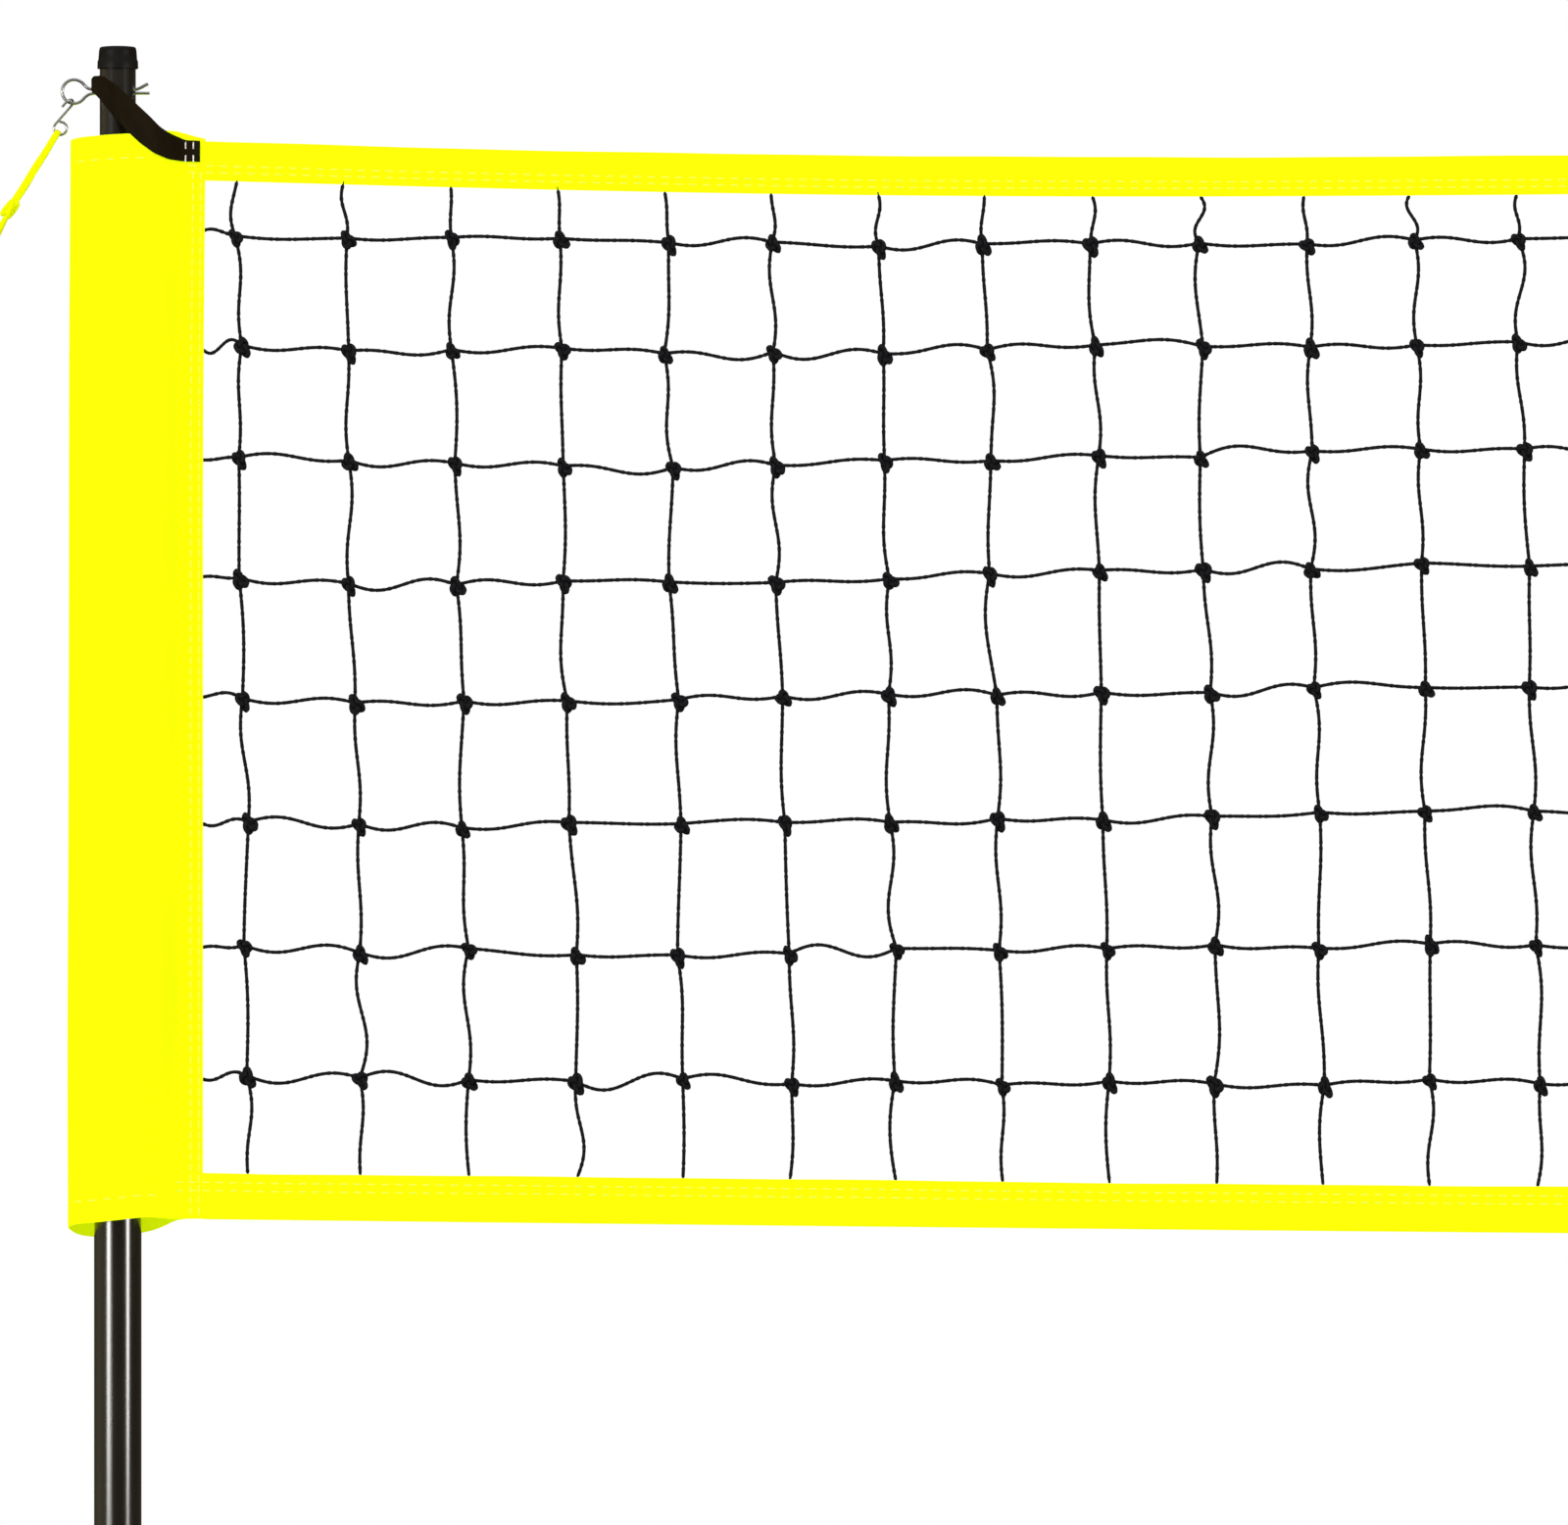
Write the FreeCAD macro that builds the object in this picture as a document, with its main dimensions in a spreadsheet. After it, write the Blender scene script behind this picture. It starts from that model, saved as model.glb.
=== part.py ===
# Volleyball net on two telescoping poles, set up with its guy lines pegged to the ground.
# Millimetres. The origin is the centre of the left pole's foot, on the ground.
# +X runs along the net to the right pole, +Y to the back and +Z up.
import FreeCAD, Part
import math
import os
import re
from types import SimpleNamespace

import Sketcher
from FreeCAD import Placement, Rotation, Vector

# Driving dimensions, each with what it measures
SIZES = [
    ("pole_span", 9630, "between the axes of the two poles"),
    ("fit_gap", 0.1, "round a piece that is fixed inside another"),
    ("run_gap", 0.3, "round a piece that moves in another"),
    ("tube_od", 44, "outside of the base and middle tubes"),
    ("tube_wall", 1.2, "wall of the base and middle tubes"),
    ("base_top", 880, "height of the joint between base and middle tube"),
    ("spigot_length", 100, "drawn-in end of the base tube"),
    ("spigot_shoulder", 8, "thick ring under the spigot"),
    ("middle_top", 1740, "height of the middle tube's upper end"),
    ("foot_wall", 3, "wall of the foot cap, with its clearance"),
    ("foot_height", 45, "height of the foot cap"),
    ("foot_floor", 5, "floor of the foot cap"),
    ("foot_bevel", 2, "bevel round the foot cap's floor"),
    ("mast_step", 10.5, "how much thinner the top tube is than the other two"),
    ("mast_wall", 1.2, "wall of the top tube"),
    ("mast_bottom", 1443, "height of the top tube's lower end"),
    ("mast_over", 85, "top tube's upper end above the net's top edge"),
    ("bush_height", 42, "guide bush round the top tube's lower end"),
    ("bush_lip", 3, "lip of the guide bush under the tube"),
    ("cap_step", 4.5, "how much wider the top cap is than its tube"),
    ("cap_skirt", 18, "skirt of the top cap round the tube"),
    ("cap_crown", 4, "height of the top cap above the tube"),
    ("collet_depth", 50, "collet inside the middle tube"),
    ("collet_flange", 3, "collet's flange on the middle tube"),
    ("neck_step", 4.5, "how much wider the collet's slit neck is than the top tube"),
    ("collet_slit", 2, "width of the slits in the neck"),
    ("collar_step", 16, "how much wider the clamp collar is than that neck"),
    ("collar_height", 33, "height of the clamp collar"),
    ("collar_lip", 5, "inner lip at the collar's top"),
    ("collar_groove", 2.2, "radius of the finger grooves round the collar"),
    ("button_od", 8, "snap button"),
    ("button_out", 3.5, "how far the button stands out of the tube"),
    ("button_above", 50, "button above the tube joint"),
    ("button_rim_od", 12, "rim that keeps the button in"),
    ("button_rim", 1.5, "thickness of that rim"),
    ("spring_width", 8, "leaf spring behind the button"),
    ("spring_leaf", 0.8, "thickness of the leaf spring"),
    ("spring_drop", 45, "depth of the leaf spring's V"),
    ("pin_below", 39, "cross pin below the top tube's upper end"),
    ("pin_wire", 3, "wire of the eye pin"),
    ("pin_hole", 7.5, "cross hole in the top tube"),
    ("pin_eye", 21.5, "eye of the pin across its wire's middle"),
    ("pin_eye_out", 23.75, "middle of the pin's eye from the tube's face"),
    ("pin_leg", 0.75, "where the pin's legs spread, from the tube's face"),
    ("pin_spread", 12, "length of the spread ends"),
    ("strap_leaf", 1.6, "thickness of the strap's webbing"),
    ("strap_tail", 78, "end of the strap from the pole axis"),
    ("strap_band", 20, "width of the strap's webbing"),
    ("strap_rise", 24, "height of the loop on the pole"),
    ("strap_slope", 20, "fall of the loop across the pole"),
    ("strap_high_at", 8, "strap's upper bend, past where the sleeve turns in"),
    ("strap_high_rise", 12, "that bend above the tail"),
    ("strap_low_at", 9, "strap's lower bend from the pole axis"),
    ("strap_low_rise", 29, "that bend above the tail's lower edge"),
    ("hook_wire", 2.4, "wire of the guy hook"),
    ("hook_bow", 10, "hook's bow across its wire's middle"),
    ("hook_length", 27, "hook from its bow to its eye"),
    ("hook_tip", 6, "straight end of the hook past its bow"),
    ("hook_tilt", 41, "lean of the hook from upright, in degrees"),
    ("hook_eye", 12, "hook's eye across its wire's middle"),
    ("band_width", 6.5, "flat cord of the guy loop"),
    ("band_leaf", 1.2, "thickness of the guy loop's cord"),
    ("knot_out", 100, "knot from the pole axis"),
    ("knot_below", 109, "knot below the cross pin"),
    ("knot_thick", 12, "knot across"),
    ("knot_long", 20, "knot along"),
    ("guy_reach", 1180, "peg's eye from the pole axis, along the net"),
    ("guy_side", 1125, "peg's eye from the net's plane"),
    ("guy_cord", 4.5, "guy line"),
    ("peg_wire", 6, "round bar of the peg"),
    ("peg_length", 207, "peg from its eye's top to its point"),
    ("peg_eye", 22, "peg's eye across its bar's middle"),
    ("peg_bend", 12, "radius where the shaft bends into the eye"),
    ("peg_point", 12, "length of the point"),
    ("peg_above", 33, "middle of the eye above the ground, along the peg"),
    ("peg_angle", 65, "peg from level, in degrees"),
    ("runner_thick", 6, "tensioner plate"),
    ("runner_hole", 16, "tensioner's hole for the peg's eye"),
    ("runner_lobe", 26, "tensioner's end round that hole"),
    ("runner_reach", 63, "from that hole to the cord hole"),
    ("runner_nose", 16, "tensioner's end round the cord hole"),
    ("runner_claw", 34, "reach of the claw from the middle line"),
    ("runner_bite", 24, "round bite above the claw"),
    ("runner_cord_hole", 5.5, "cord hole"),
    ("cloth", 1.2, "cloth of the sleeve"),
    ("sleeve_left", 45.4, "sleeve's outer edge from the pole axis"),
    ("sleeve_half", 30, "sleeve's front or back from the net's plane"),
    ("sleeve_turn", 34, "where the front turns in, from the pole axis"),
    ("fin_start", 60, "where the sleeve's two layers meet"),
    ("fin_end", 79, "end of the flat fin, from the pole axis"),
    ("fin_split", 1.5, "between the fin's two layers"),
    ("net_top", 2240, "top edge of the net at the pole"),
    ("net_height", 1000, "net with both tapes"),
    ("sleeve_over", 3, "sleeve's front rim past the net's edges"),
    ("sleeve_slant", 7.5, "how much longer the back of the sleeve is at each end"),
    ("net_sag", 28, "how far the net sags at its middle"),
    ("top_tape_width", 36.5, "top tape"),
    ("bottom_tape_width", 43, "bottom tape"),
    ("tape_thick", 2.4, "both tapes"),
    ("twine", 3, "netting cord"),
    ("mesh_wide", 100, "netting's mesh along the net"),
    ("mesh_high", 111.4, "netting's mesh up the net"),
    ("first_knots", 87, "first row of knots below the top edge"),
]
EVERY = 2           # the solid net has every second cord of the netting, both ways
GROOVES = 16        # finger grooves round the clamp collar

doc = FreeCAD.newDocument("volleyball_net")
sheet = doc.addObject("Spreadsheet::Sheet", "sizes")
for row, (alias, number, meaning) in enumerate(SIZES, 1):
    sheet.set("A%d" % row, meaning)
    sheet.set("B%d" % row, str(number))
    sheet.setAlias("B%d" % row, alias)
doc.recompute()
ALIASES = [alias for alias, number, meaning in SIZES]
v = SimpleNamespace(**{alias: float(sheet.get(alias)) for alias in ALIASES})
nodes = {}

# Sizes that follow from the driving ones, as formulas in the same words
FOLLOWS = {
    "foot_od": "(tube_od + 2 * foot_wall)",
    "mast_od": "(tube_od - mast_step)",
    "cap_od": "(mast_od + cap_step)",
    "neck_od": "(mast_od + neck_step)",
    "collar_od": "(neck_od + collar_step)",
    "mast_top": "(net_top + mast_over)",
    "pin_height": "(mast_top - pin_below)",
}
mast_r = (v.tube_od - v.mast_step) / 2
pin_z = v.net_top + v.mast_over - v.pin_below


# Helpers that make document objects whose sizes are tied to the sheet
def tied(formula):
    """A formula in the sheet's words, as an expression of the document."""
    for name in reversed(FOLLOWS):
        formula = re.sub(r"\b%s\b" % name, FOLLOWS[name], formula)
    return re.sub(r"[a-z_]+", lambda m: "sizes." + m[0] if m[0] in ALIASES else m[0], formula)


def tie(piece, **formulas):
    for name, formula in formulas.items():
        piece.setExpression(name, tied(formula))
    return piece


def place(piece, x="0", y="0", z="0"):
    for axis, formula in (("x", x), ("y", y), ("z", z)):
        piece.setExpression("Placement.Base." + axis, tied(formula))
    return piece


def turned(name, outline):
    """A body turned about the upright axis from an outline of (radius, height) formulas."""
    body = doc.addObject("PartDesign::Body", name)
    sketch = body.newObject("Sketcher::SketchObject", name + "_profile")
    plane = [item for item in body.Origin.OriginFeatures if item.Role == "XZ_Plane"][0]
    sketch.AttachmentSupport = (plane, [""])
    sketch.MapMode = "FlatFace"
    count = len(outline)
    start = [Vector(10 + index, index * index, 0) for index in range(count)]
    for index in range(count):
        sketch.addGeometry(Part.LineSegment(start[index], start[(index + 1) % count]), False)
    for index in range(count):
        sketch.addConstraint(Sketcher.Constraint("Coincident", index, 2, (index + 1) % count, 1))
    for index, pair in enumerate(outline):
        for kind, axis, guess, formula in (
            ("DistanceX", -2, start[index].x, pair[0]),
            ("DistanceY", -1, start[index].y, pair[1]),
        ):
            if formula == "0":
                sketch.addConstraint(Sketcher.Constraint("PointOnObject", index, 1, axis))
            else:
                number = sketch.addConstraint(Sketcher.Constraint(kind, -1, 1, index, 1, guess))
                sketch.setExpression("Constraints[%d]" % number, tied(formula))
    turn = body.newObject("PartDesign::Revolution", name + "_turn")
    turn.Profile = sketch
    turn.ReferenceAxis = (sketch, ["V_Axis"])
    turn.Angle = 360
    return body


def rod(name, radius, length, x="0", y="0", z="0", along=(0, 0, 1)):
    piece = doc.addObject("Part::Cylinder", name)
    piece.Placement = Placement(Vector(), Rotation(Vector(0, 0, 1), Vector(*along)))
    return place(tie(piece, Radius=radius, Height=length), x, y, z)


def block(name, length, width, height, x, y, z):
    return place(tie(doc.addObject("Part::Box", name), Length=length, Width=width, Height=height), x, y, z)


def fused(name, *pieces):
    joined = doc.addObject("Part::MultiFuse", name)
    joined.Shapes = list(pieces)
    return joined


def cut(name, base, tool):
    rest = doc.addObject("Part::Cut", name)
    rest.Base = base
    rest.Tool = tool
    return rest


def mirrored(name, source, normal, x="0"):
    copy = doc.addObject("Part::Mirroring", name)
    copy.Source = source
    copy.Normal = Vector(*normal)
    copy.setExpression("Base.x", tied(x))
    return copy


def shaped(name, shape):
    feature = doc.addObject("Part::Feature", name)
    feature.Shape = shape
    return feature


def keep(name, piece):
    piece.Label = name
    nodes[name] = piece
    return piece


# Helpers for bent wire, folded cloth and flat outlines
def bent(points, radii):
    """Straight runs joined by tangent arcs: radii holds one radius for each inner point."""
    edges = []
    last = points[0]
    for index, radius in enumerate(radii, 1):
        corner = points[index]
        back = (points[index - 1] - corner).normalize()
        ahead = (points[index + 1] - corner).normalize()
        half = back.getAngle(ahead) / 2
        reach = radius / math.tan(half)
        middle = corner + (back + ahead).normalize() * (radius / math.sin(half) - radius)
        edges.append(Part.LineSegment(last, corner + back * reach).toShape())
        edges.append(Part.Arc(corner + back * reach, middle, corner + ahead * reach).toShape())
        last = corner + ahead * reach
    edges.append(Part.LineSegment(last, points[-1]).toShape())
    return Part.Wire(edges)


def wire_of(*edges):
    return Part.Wire([edge.toShape() for edge in edges])


def swept(path, section):
    """A solid along runs and arcs. section gives its flat outline at a point, facing a direction."""
    lengths = []
    for edge in path.OrderedEdges:
        begin = edge.valueAt(edge.FirstParameter)
        ahead = edge.tangentAt(edge.FirstParameter)
        face = Part.Face(section(begin, ahead))
        if edge.Curve.TypeId == "Part::GeomLine":
            lengths.append(face.extrude(ahead * edge.Length))
        else:
            turn = math.degrees(edge.LastParameter - edge.FirstParameter)
            lengths.append(face.revolve(edge.Curve.Center, edge.Curve.Axis, turn))
    return lengths[0].fuse(lengths[1:]).removeSplitter()


def swept_round(path, diameter):
    return swept(path, lambda begin, ahead: Part.Wire([Part.makeCircle(diameter / 2, begin, ahead)]))


def swept_band(path, thickness, width, across):
    """A flat band along a plane path: its width lies along the vector across."""
    half = Vector(across).normalize() * (width / 2)

    def section(begin, ahead):
        side = ahead.cross(across).normalize() * (thickness / 2)
        corners = [begin + side + half, begin - side + half, begin - side - half, begin + side - half]
        return Part.makePolygon(corners + corners[:1])

    return swept(path, section)


def offset_route(points, radii, distance):
    """The same route in plan, moved sideways to its right by distance, with its bends to match."""
    runs = [(b - a).normalize() for a, b in zip(points, points[1:])]
    sides = [Vector(run.y, -run.x, 0) * distance for run in runs]
    moved = [points[0] + sides[0]]
    new_radii = []
    for index, radius in enumerate(radii, 1):
        before, after = runs[index - 1], runs[index]
        turn = before.cross(after).z
        stretch = (sides[index - 1] + sides[index]).normalize()
        moved.append(points[index] + stretch * (distance / stretch.dot(sides[index] / distance)))
        new_radii.append(radius + math.copysign(distance, turn))
    moved.append(points[-1] + sides[-1])
    return moved, new_radii


def slab(corners, along):
    """A flat outline of straight sides, extruded along a vector."""
    return Part.Face(Part.makePolygon(corners + corners[:1])).extrude(along)


def flat(x, z, y=0.0):
    return Vector(x, y, z)


UP = Vector(0, 0, 1)
BACK = Vector(0, 1, 0)

# Tubes of one pole, all turned about its axis
tube_bore = "(tube_od / 2 - tube_wall)"
spigot_r = "(tube_od / 2 - tube_wall - fit_gap)"
spigot_bore = "(tube_od / 2 - 2 * tube_wall - fit_gap)"
keep("left_foot_cap", turned("left_foot_cap", [
    ("0", "0"),
    ("foot_od / 2 - foot_bevel", "0"),
    ("foot_od / 2", "foot_bevel"),
    ("foot_od / 2", "foot_height"),
    ("tube_od / 2 + fit_gap", "foot_height"),
    ("tube_od / 2 + fit_gap", "foot_floor"),
    ("0", "foot_floor"),
]))
base_blank = turned("base_blank", [
    (tube_bore, "foot_floor"),
    ("tube_od / 2", "foot_floor"),
    ("tube_od / 2", "base_top"),
    (spigot_r, "base_top"),
    (spigot_r, "base_top + spigot_length"),
    (spigot_bore, "base_top + spigot_length"),
    (spigot_bore, "base_top - spigot_shoulder"),
    (tube_bore, "base_top - spigot_shoulder"),
])
middle_blank = turned("middle_blank", [
    (tube_bore, "base_top"),
    ("tube_od / 2", "base_top"),
    ("tube_od / 2", "middle_top"),
    (tube_bore, "middle_top"),
])
for name, blank in (("left_base_tube", base_blank), ("left_middle_tube", middle_blank)):
    button_hole = rod(
        name + "_button_hole", "button_od / 2 + run_gap", "tube_od", z="base_top + button_above", along=(0, -1, 0)
    )
    keep(name, cut(name, blank, button_hole))

# Snap button through both tubes, and the leaf spring that pushes it out
button_z = "base_top + button_above"
rim_face = "(sqrt(%s ^ 2 - (button_rim_od / 2) ^ 2) - run_gap)" % spigot_bore
button_shaft = rod(
    "button_shaft", "button_od / 2", "tube_od / 2 + button_out - " + rim_face, y="-" + rim_face, z=button_z,
    along=(0, -1, 0)
)
button_rim = rod(
    "button_rim_disc", "button_rim_od / 2", "button_rim", y="button_rim - " + rim_face, z=button_z, along=(0, -1, 0)
)
keep("left_section_button", fused("left_section_button", button_shaft, button_rim))

bore_r = v.tube_od / 2 - 2 * v.tube_wall - v.fit_gap
rim_back = math.sqrt(bore_r ** 2 - (v.button_rim_od / 2) ** 2) - v.run_gap - v.button_rim
leaf_front = -rim_back + v.fit_gap + v.spring_leaf / 2
leaf_back = math.sqrt(bore_r ** 2 - (v.spring_width / 2) ** 2) - v.fit_gap - v.spring_leaf / 2
spring_z = v.base_top + v.button_above
spring_path = bent(
    [
        Vector(0, leaf_front, spring_z + v.button_rim_od / 2),
        Vector(0, leaf_front, spring_z - v.button_rim_od / 2),
        Vector(0, leaf_front * 0.2, spring_z - v.spring_drop),
        Vector(0, leaf_back * 0.2, spring_z - v.spring_drop),
        Vector(0, leaf_back, spring_z - v.button_rim_od / 2),
        Vector(0, leaf_back, spring_z + v.button_rim_od / 2),
    ],
    [v.spring_width, v.spring_leaf * 2, v.spring_leaf * 2, v.spring_width],
)
keep("left_section_spring", shaped(
    "left_section_spring", swept_band(spring_path, v.spring_leaf, v.spring_width, Vector(1, 0, 0))
))

# Clamp: the slit collet in the middle tube's end, and the collar that turns to squeeze it
neck_base = "(middle_top + collet_flange)"
collar_base = "(middle_top + collet_flange + run_gap)"
mast_way = "(mast_od / 2 + run_gap)"
collet_blank = turned("collet_blank", [
    (mast_way, "middle_top - collet_depth"),
    (spigot_r, "middle_top - collet_depth"),
    (spigot_r, "middle_top"),
    ("tube_od / 2", "middle_top"),
    ("tube_od / 2", neck_base),
    ("neck_od / 2", neck_base),
    ("neck_od / 2", collar_base + " + collar_height - collar_lip - 1"),
    (mast_way, collar_base + " + collar_height - collar_lip - 1"),
])
slits = [
    block(
        "slit_" + way, length, width, "collar_height", "-(%s) / 2" % length, "-(%s) / 2" % width,
        neck_base + " + collet_slit"
    )
    for way, length, width in (("along", "collar_od", "collet_slit"), ("across", "collet_slit", "collar_od"))
]
keep("left_clamp_collet", cut("left_clamp_collet", collet_blank, fused("slits", *slits)))
collar_blank = turned("collar_blank", [
    ("neck_od / 2 + run_gap", collar_base),
    ("collar_od / 2", collar_base),
    ("collar_od / 2", collar_base + " + collar_height"),
    (mast_way, collar_base + " + collar_height"),
    (mast_way, collar_base + " + collar_height - collar_lip"),
    ("neck_od / 2 + run_gap", collar_base + " + collar_height - collar_lip"),
])
grooves = [
    rod(
        "groove_%d" % step, "collar_groove", "collar_height",
        x="collar_od / 2 * cos(%s deg)" % (360 / GROOVES * step),
        y="collar_od / 2 * sin(%s deg)" % (360 / GROOVES * step),
        z=collar_base,
    )
    for step in range(GROOVES)
]
keep("left_clamp_collar", cut("left_clamp_collar", collar_blank, fused("grooves", *grooves)))

# Top tube, which slides in the clamp, with its guide bush and cap
mast_bore = "(mast_od / 2 - mast_wall)"
mast_blank = turned("mast_blank", [
    (mast_bore, "mast_bottom"),
    ("mast_od / 2", "mast_bottom"),
    ("mast_od / 2", "mast_top"),
    (mast_bore, "mast_top"),
])
cross_hole = rod("cross_hole", "pin_hole / 2", "2 * mast_od", x="-mast_od", z="pin_height", along=(1, 0, 0))
keep("left_top_tube", cut("left_top_tube", mast_blank, cross_hole))
keep("left_guide_bush", turned("left_guide_bush", [
    (mast_bore, "mast_bottom - bush_lip"),
    ("tube_od / 2 - tube_wall - run_gap", "mast_bottom - bush_lip"),
    ("tube_od / 2 - tube_wall - run_gap", "mast_bottom + bush_height"),
    ("mast_od / 2 + fit_gap", "mast_bottom + bush_height"),
    ("mast_od / 2 + fit_gap", "mast_bottom"),
    (mast_bore, "mast_bottom"),
]))
keep("left_top_cap", turned("left_top_cap", [
    ("mast_od / 2 + fit_gap", "mast_top - cap_skirt"),
    ("cap_od / 2", "mast_top - cap_skirt"),
    ("cap_od / 2", "mast_top + cap_crown * 0.1"),
    ("cap_od / 2 - cap_crown * 0.2", "mast_top + cap_crown * 0.5"),
    ("cap_od / 2 - cap_crown * 0.8", "mast_top + cap_crown * 0.85"),
    ("cap_od / 4", "mast_top + cap_crown"),
    ("0", "mast_top + cap_crown"),
    ("0", "mast_top"),
    ("mast_od / 2 + fit_gap", "mast_top"),
]))

# Eye pin: one wire bent into an eye, its two legs through the tube and spread on the far side
leg = v.pin_wire / 2 + v.fit_gap / 2
eye_r = v.pin_eye / 2
neck_r = v.pin_wire
eye_x = -mast_r - v.pin_eye_out
spread_x = mast_r + v.pin_leg
spread_angle = math.radians(28)
neck_x = eye_x + math.sqrt((eye_r + neck_r) ** 2 - (leg + neck_r) ** 2)
meet = Vector(neck_x - eye_x, 0, leg + neck_r).normalize()
neck_mid = (Vector(0, 0, -1) - meet).normalize()
pin_top = [
    flat(spread_x + v.pin_spread * math.cos(spread_angle), leg + v.pin_spread * math.sin(spread_angle)),
    flat(spread_x, leg),
    flat(neck_x, leg),
    flat(neck_x, leg + neck_r) + neck_mid * neck_r,
    flat(eye_x, 0) + meet * eye_r,
]
low = [Vector(point.x, 0, -point.z) for point in pin_top]
low[0] = flat(spread_x + v.pin_spread, -leg)
pin_path = wire_of(
    Part.LineSegment(pin_top[1], pin_top[2]),
    Part.Arc(pin_top[2], pin_top[3], pin_top[4]),
    Part.Arc(pin_top[4], flat(eye_x - eye_r, 0), low[4]),
    Part.Arc(low[4], low[3], low[2]),
    Part.LineSegment(low[2], low[0]),
)
spread_end = Part.makeCylinder(v.pin_wire / 2, v.pin_spread, pin_top[1], pin_top[0] - pin_top[1])
elbow = Part.makeSphere(v.pin_wire / 2, pin_top[1])
eye_pin = swept_round(pin_path, v.pin_wire).fuse([spread_end, elbow]).removeSplitter()
eye_pin.translate(UP * pin_z)
keep("left_eye_pin", shaped("left_eye_pin", eye_pin))

# Sleeve: one cloth folded round the pole, whose two ends lie together as a flat fin
layer_y = v.fin_split / 2 + v.cloth / 2
sleeve_points = [
    Vector(v.fin_end, layer_y, 0),
    Vector(v.fin_start, layer_y, 0),
    Vector(v.sleeve_turn, v.sleeve_half, 0),
    Vector(-v.sleeve_left, v.sleeve_half, 0),
    Vector(-v.sleeve_left, -v.sleeve_half, 0),
    Vector(v.sleeve_turn, -v.sleeve_half, 0),
    Vector(v.fin_start, -layer_y, 0),
    Vector(v.fin_end, -layer_y, 0),
]
sleeve_radii = [8, 20, v.sleeve_half - 4, v.sleeve_half - 4, 20, 8]
sleeve_low = v.net_top - v.net_height - v.sleeve_over
sleeve_high = v.net_top + v.sleeve_over
sleeve_margin = 2 * v.sleeve_slant
cloth_height = v.net_height + 2 * v.sleeve_over + 4 * sleeve_margin
cloth_path = bent(sleeve_points, sleeve_radii)
cloth_path.translate(UP * (v.net_top - v.net_height / 2))
cloth_wall = swept_band(cloth_path, v.cloth, cloth_height, UP)
front_y = -v.sleeve_half - v.cloth
trim = slab(
    [
        Vector(-2 * v.sleeve_left, front_y, sleeve_low),
        Vector(-2 * v.sleeve_left, -front_y, sleeve_low - v.sleeve_slant),
        Vector(-2 * v.sleeve_left, -front_y, sleeve_high + v.sleeve_slant),
        Vector(-2 * v.sleeve_left, front_y, sleeve_high),
    ],
    Vector(4 * v.sleeve_left + v.fin_end, 0, 0),
)
keep("left_sleeve", shaped("left_sleeve", cloth_wall.common(trim)))

# Strap: webbing looped round the pole below the cap, its tail sewn on the front of the sleeve
strap_in = mast_r + v.fit_gap
strap_mid = strap_in + v.strap_leaf / 2
tail_out = v.cloth / 2 + v.fit_gap + v.strap_leaf / 2
along_sleeve, along_radii = offset_route(sleeve_points[4:], sleeve_radii[4:], tail_out)
leave_angle = math.radians(230)
leave = Vector(strap_mid * math.cos(leave_angle), strap_mid * math.sin(leave_angle), 0)
away = Vector(-math.sin(leave_angle), math.cos(leave_angle), 0)
front_line = along_sleeve[1].y
onto = leave + away * ((front_line - leave.y) / away.y)
tail_points = [leave, onto, along_sleeve[1], along_sleeve[2], Vector(v.strap_tail, along_sleeve[3].y, 0)]
tail_path = bent(tail_points, [v.strap_leaf * 5, along_radii[0], along_radii[1]])
strap_z = v.net_top + v.strap_band
strap_tall = 6 * v.strap_band
tail_path.translate(UP * strap_z)
tail_band = swept_band(tail_path, v.strap_leaf, strap_tall, UP)
loop_base = Vector(0, 0, strap_z - strap_tall / 2)
pole_loop = Part.makeCylinder(strap_in + v.strap_leaf, strap_tall, loop_base)
pole_space = Part.makeCylinder(strap_in, strap_tall, loop_base)
loop_left = strap_in + v.strap_leaf + 1
tail_top = v.net_top
tail_low = tail_top - v.strap_band
loop_top = pin_z + v.strap_band
outline = [
    flat(-loop_left, loop_top),
    flat(loop_left, loop_top - v.strap_slope),
    flat(loop_left, loop_top - v.strap_slope - v.strap_leaf * 8),
    flat(v.sleeve_turn + v.strap_high_at, tail_top + v.strap_high_rise),
    flat(v.fin_start + 5, tail_top),
    flat(v.strap_tail + 1, tail_top),
    flat(v.strap_tail + 1, tail_low),
    flat(v.fin_start - 10, tail_low + 2),
    flat(v.sleeve_turn, tail_low + 9),
    flat(v.strap_low_at, tail_low + v.strap_low_rise),
    flat(-3, loop_top - v.strap_slope - v.strap_rise),
    flat(-loop_left, loop_top - v.strap_rise),
]
deep = v.sleeve_half + v.strap_tail
silhouette = slab([point - BACK * deep for point in outline], BACK * (2 * deep))
strap = pole_loop.fuse(tail_band).cut(pole_space).common(silhouette)
pin_way = Part.makeCylinder(v.pin_hole / 2, 4 * strap_in, flat(-2 * strap_in, pin_z), Vector(1, 0, 0))
keep("left_top_strap", shaped("left_top_strap", strap.cut(pin_way)))

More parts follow.
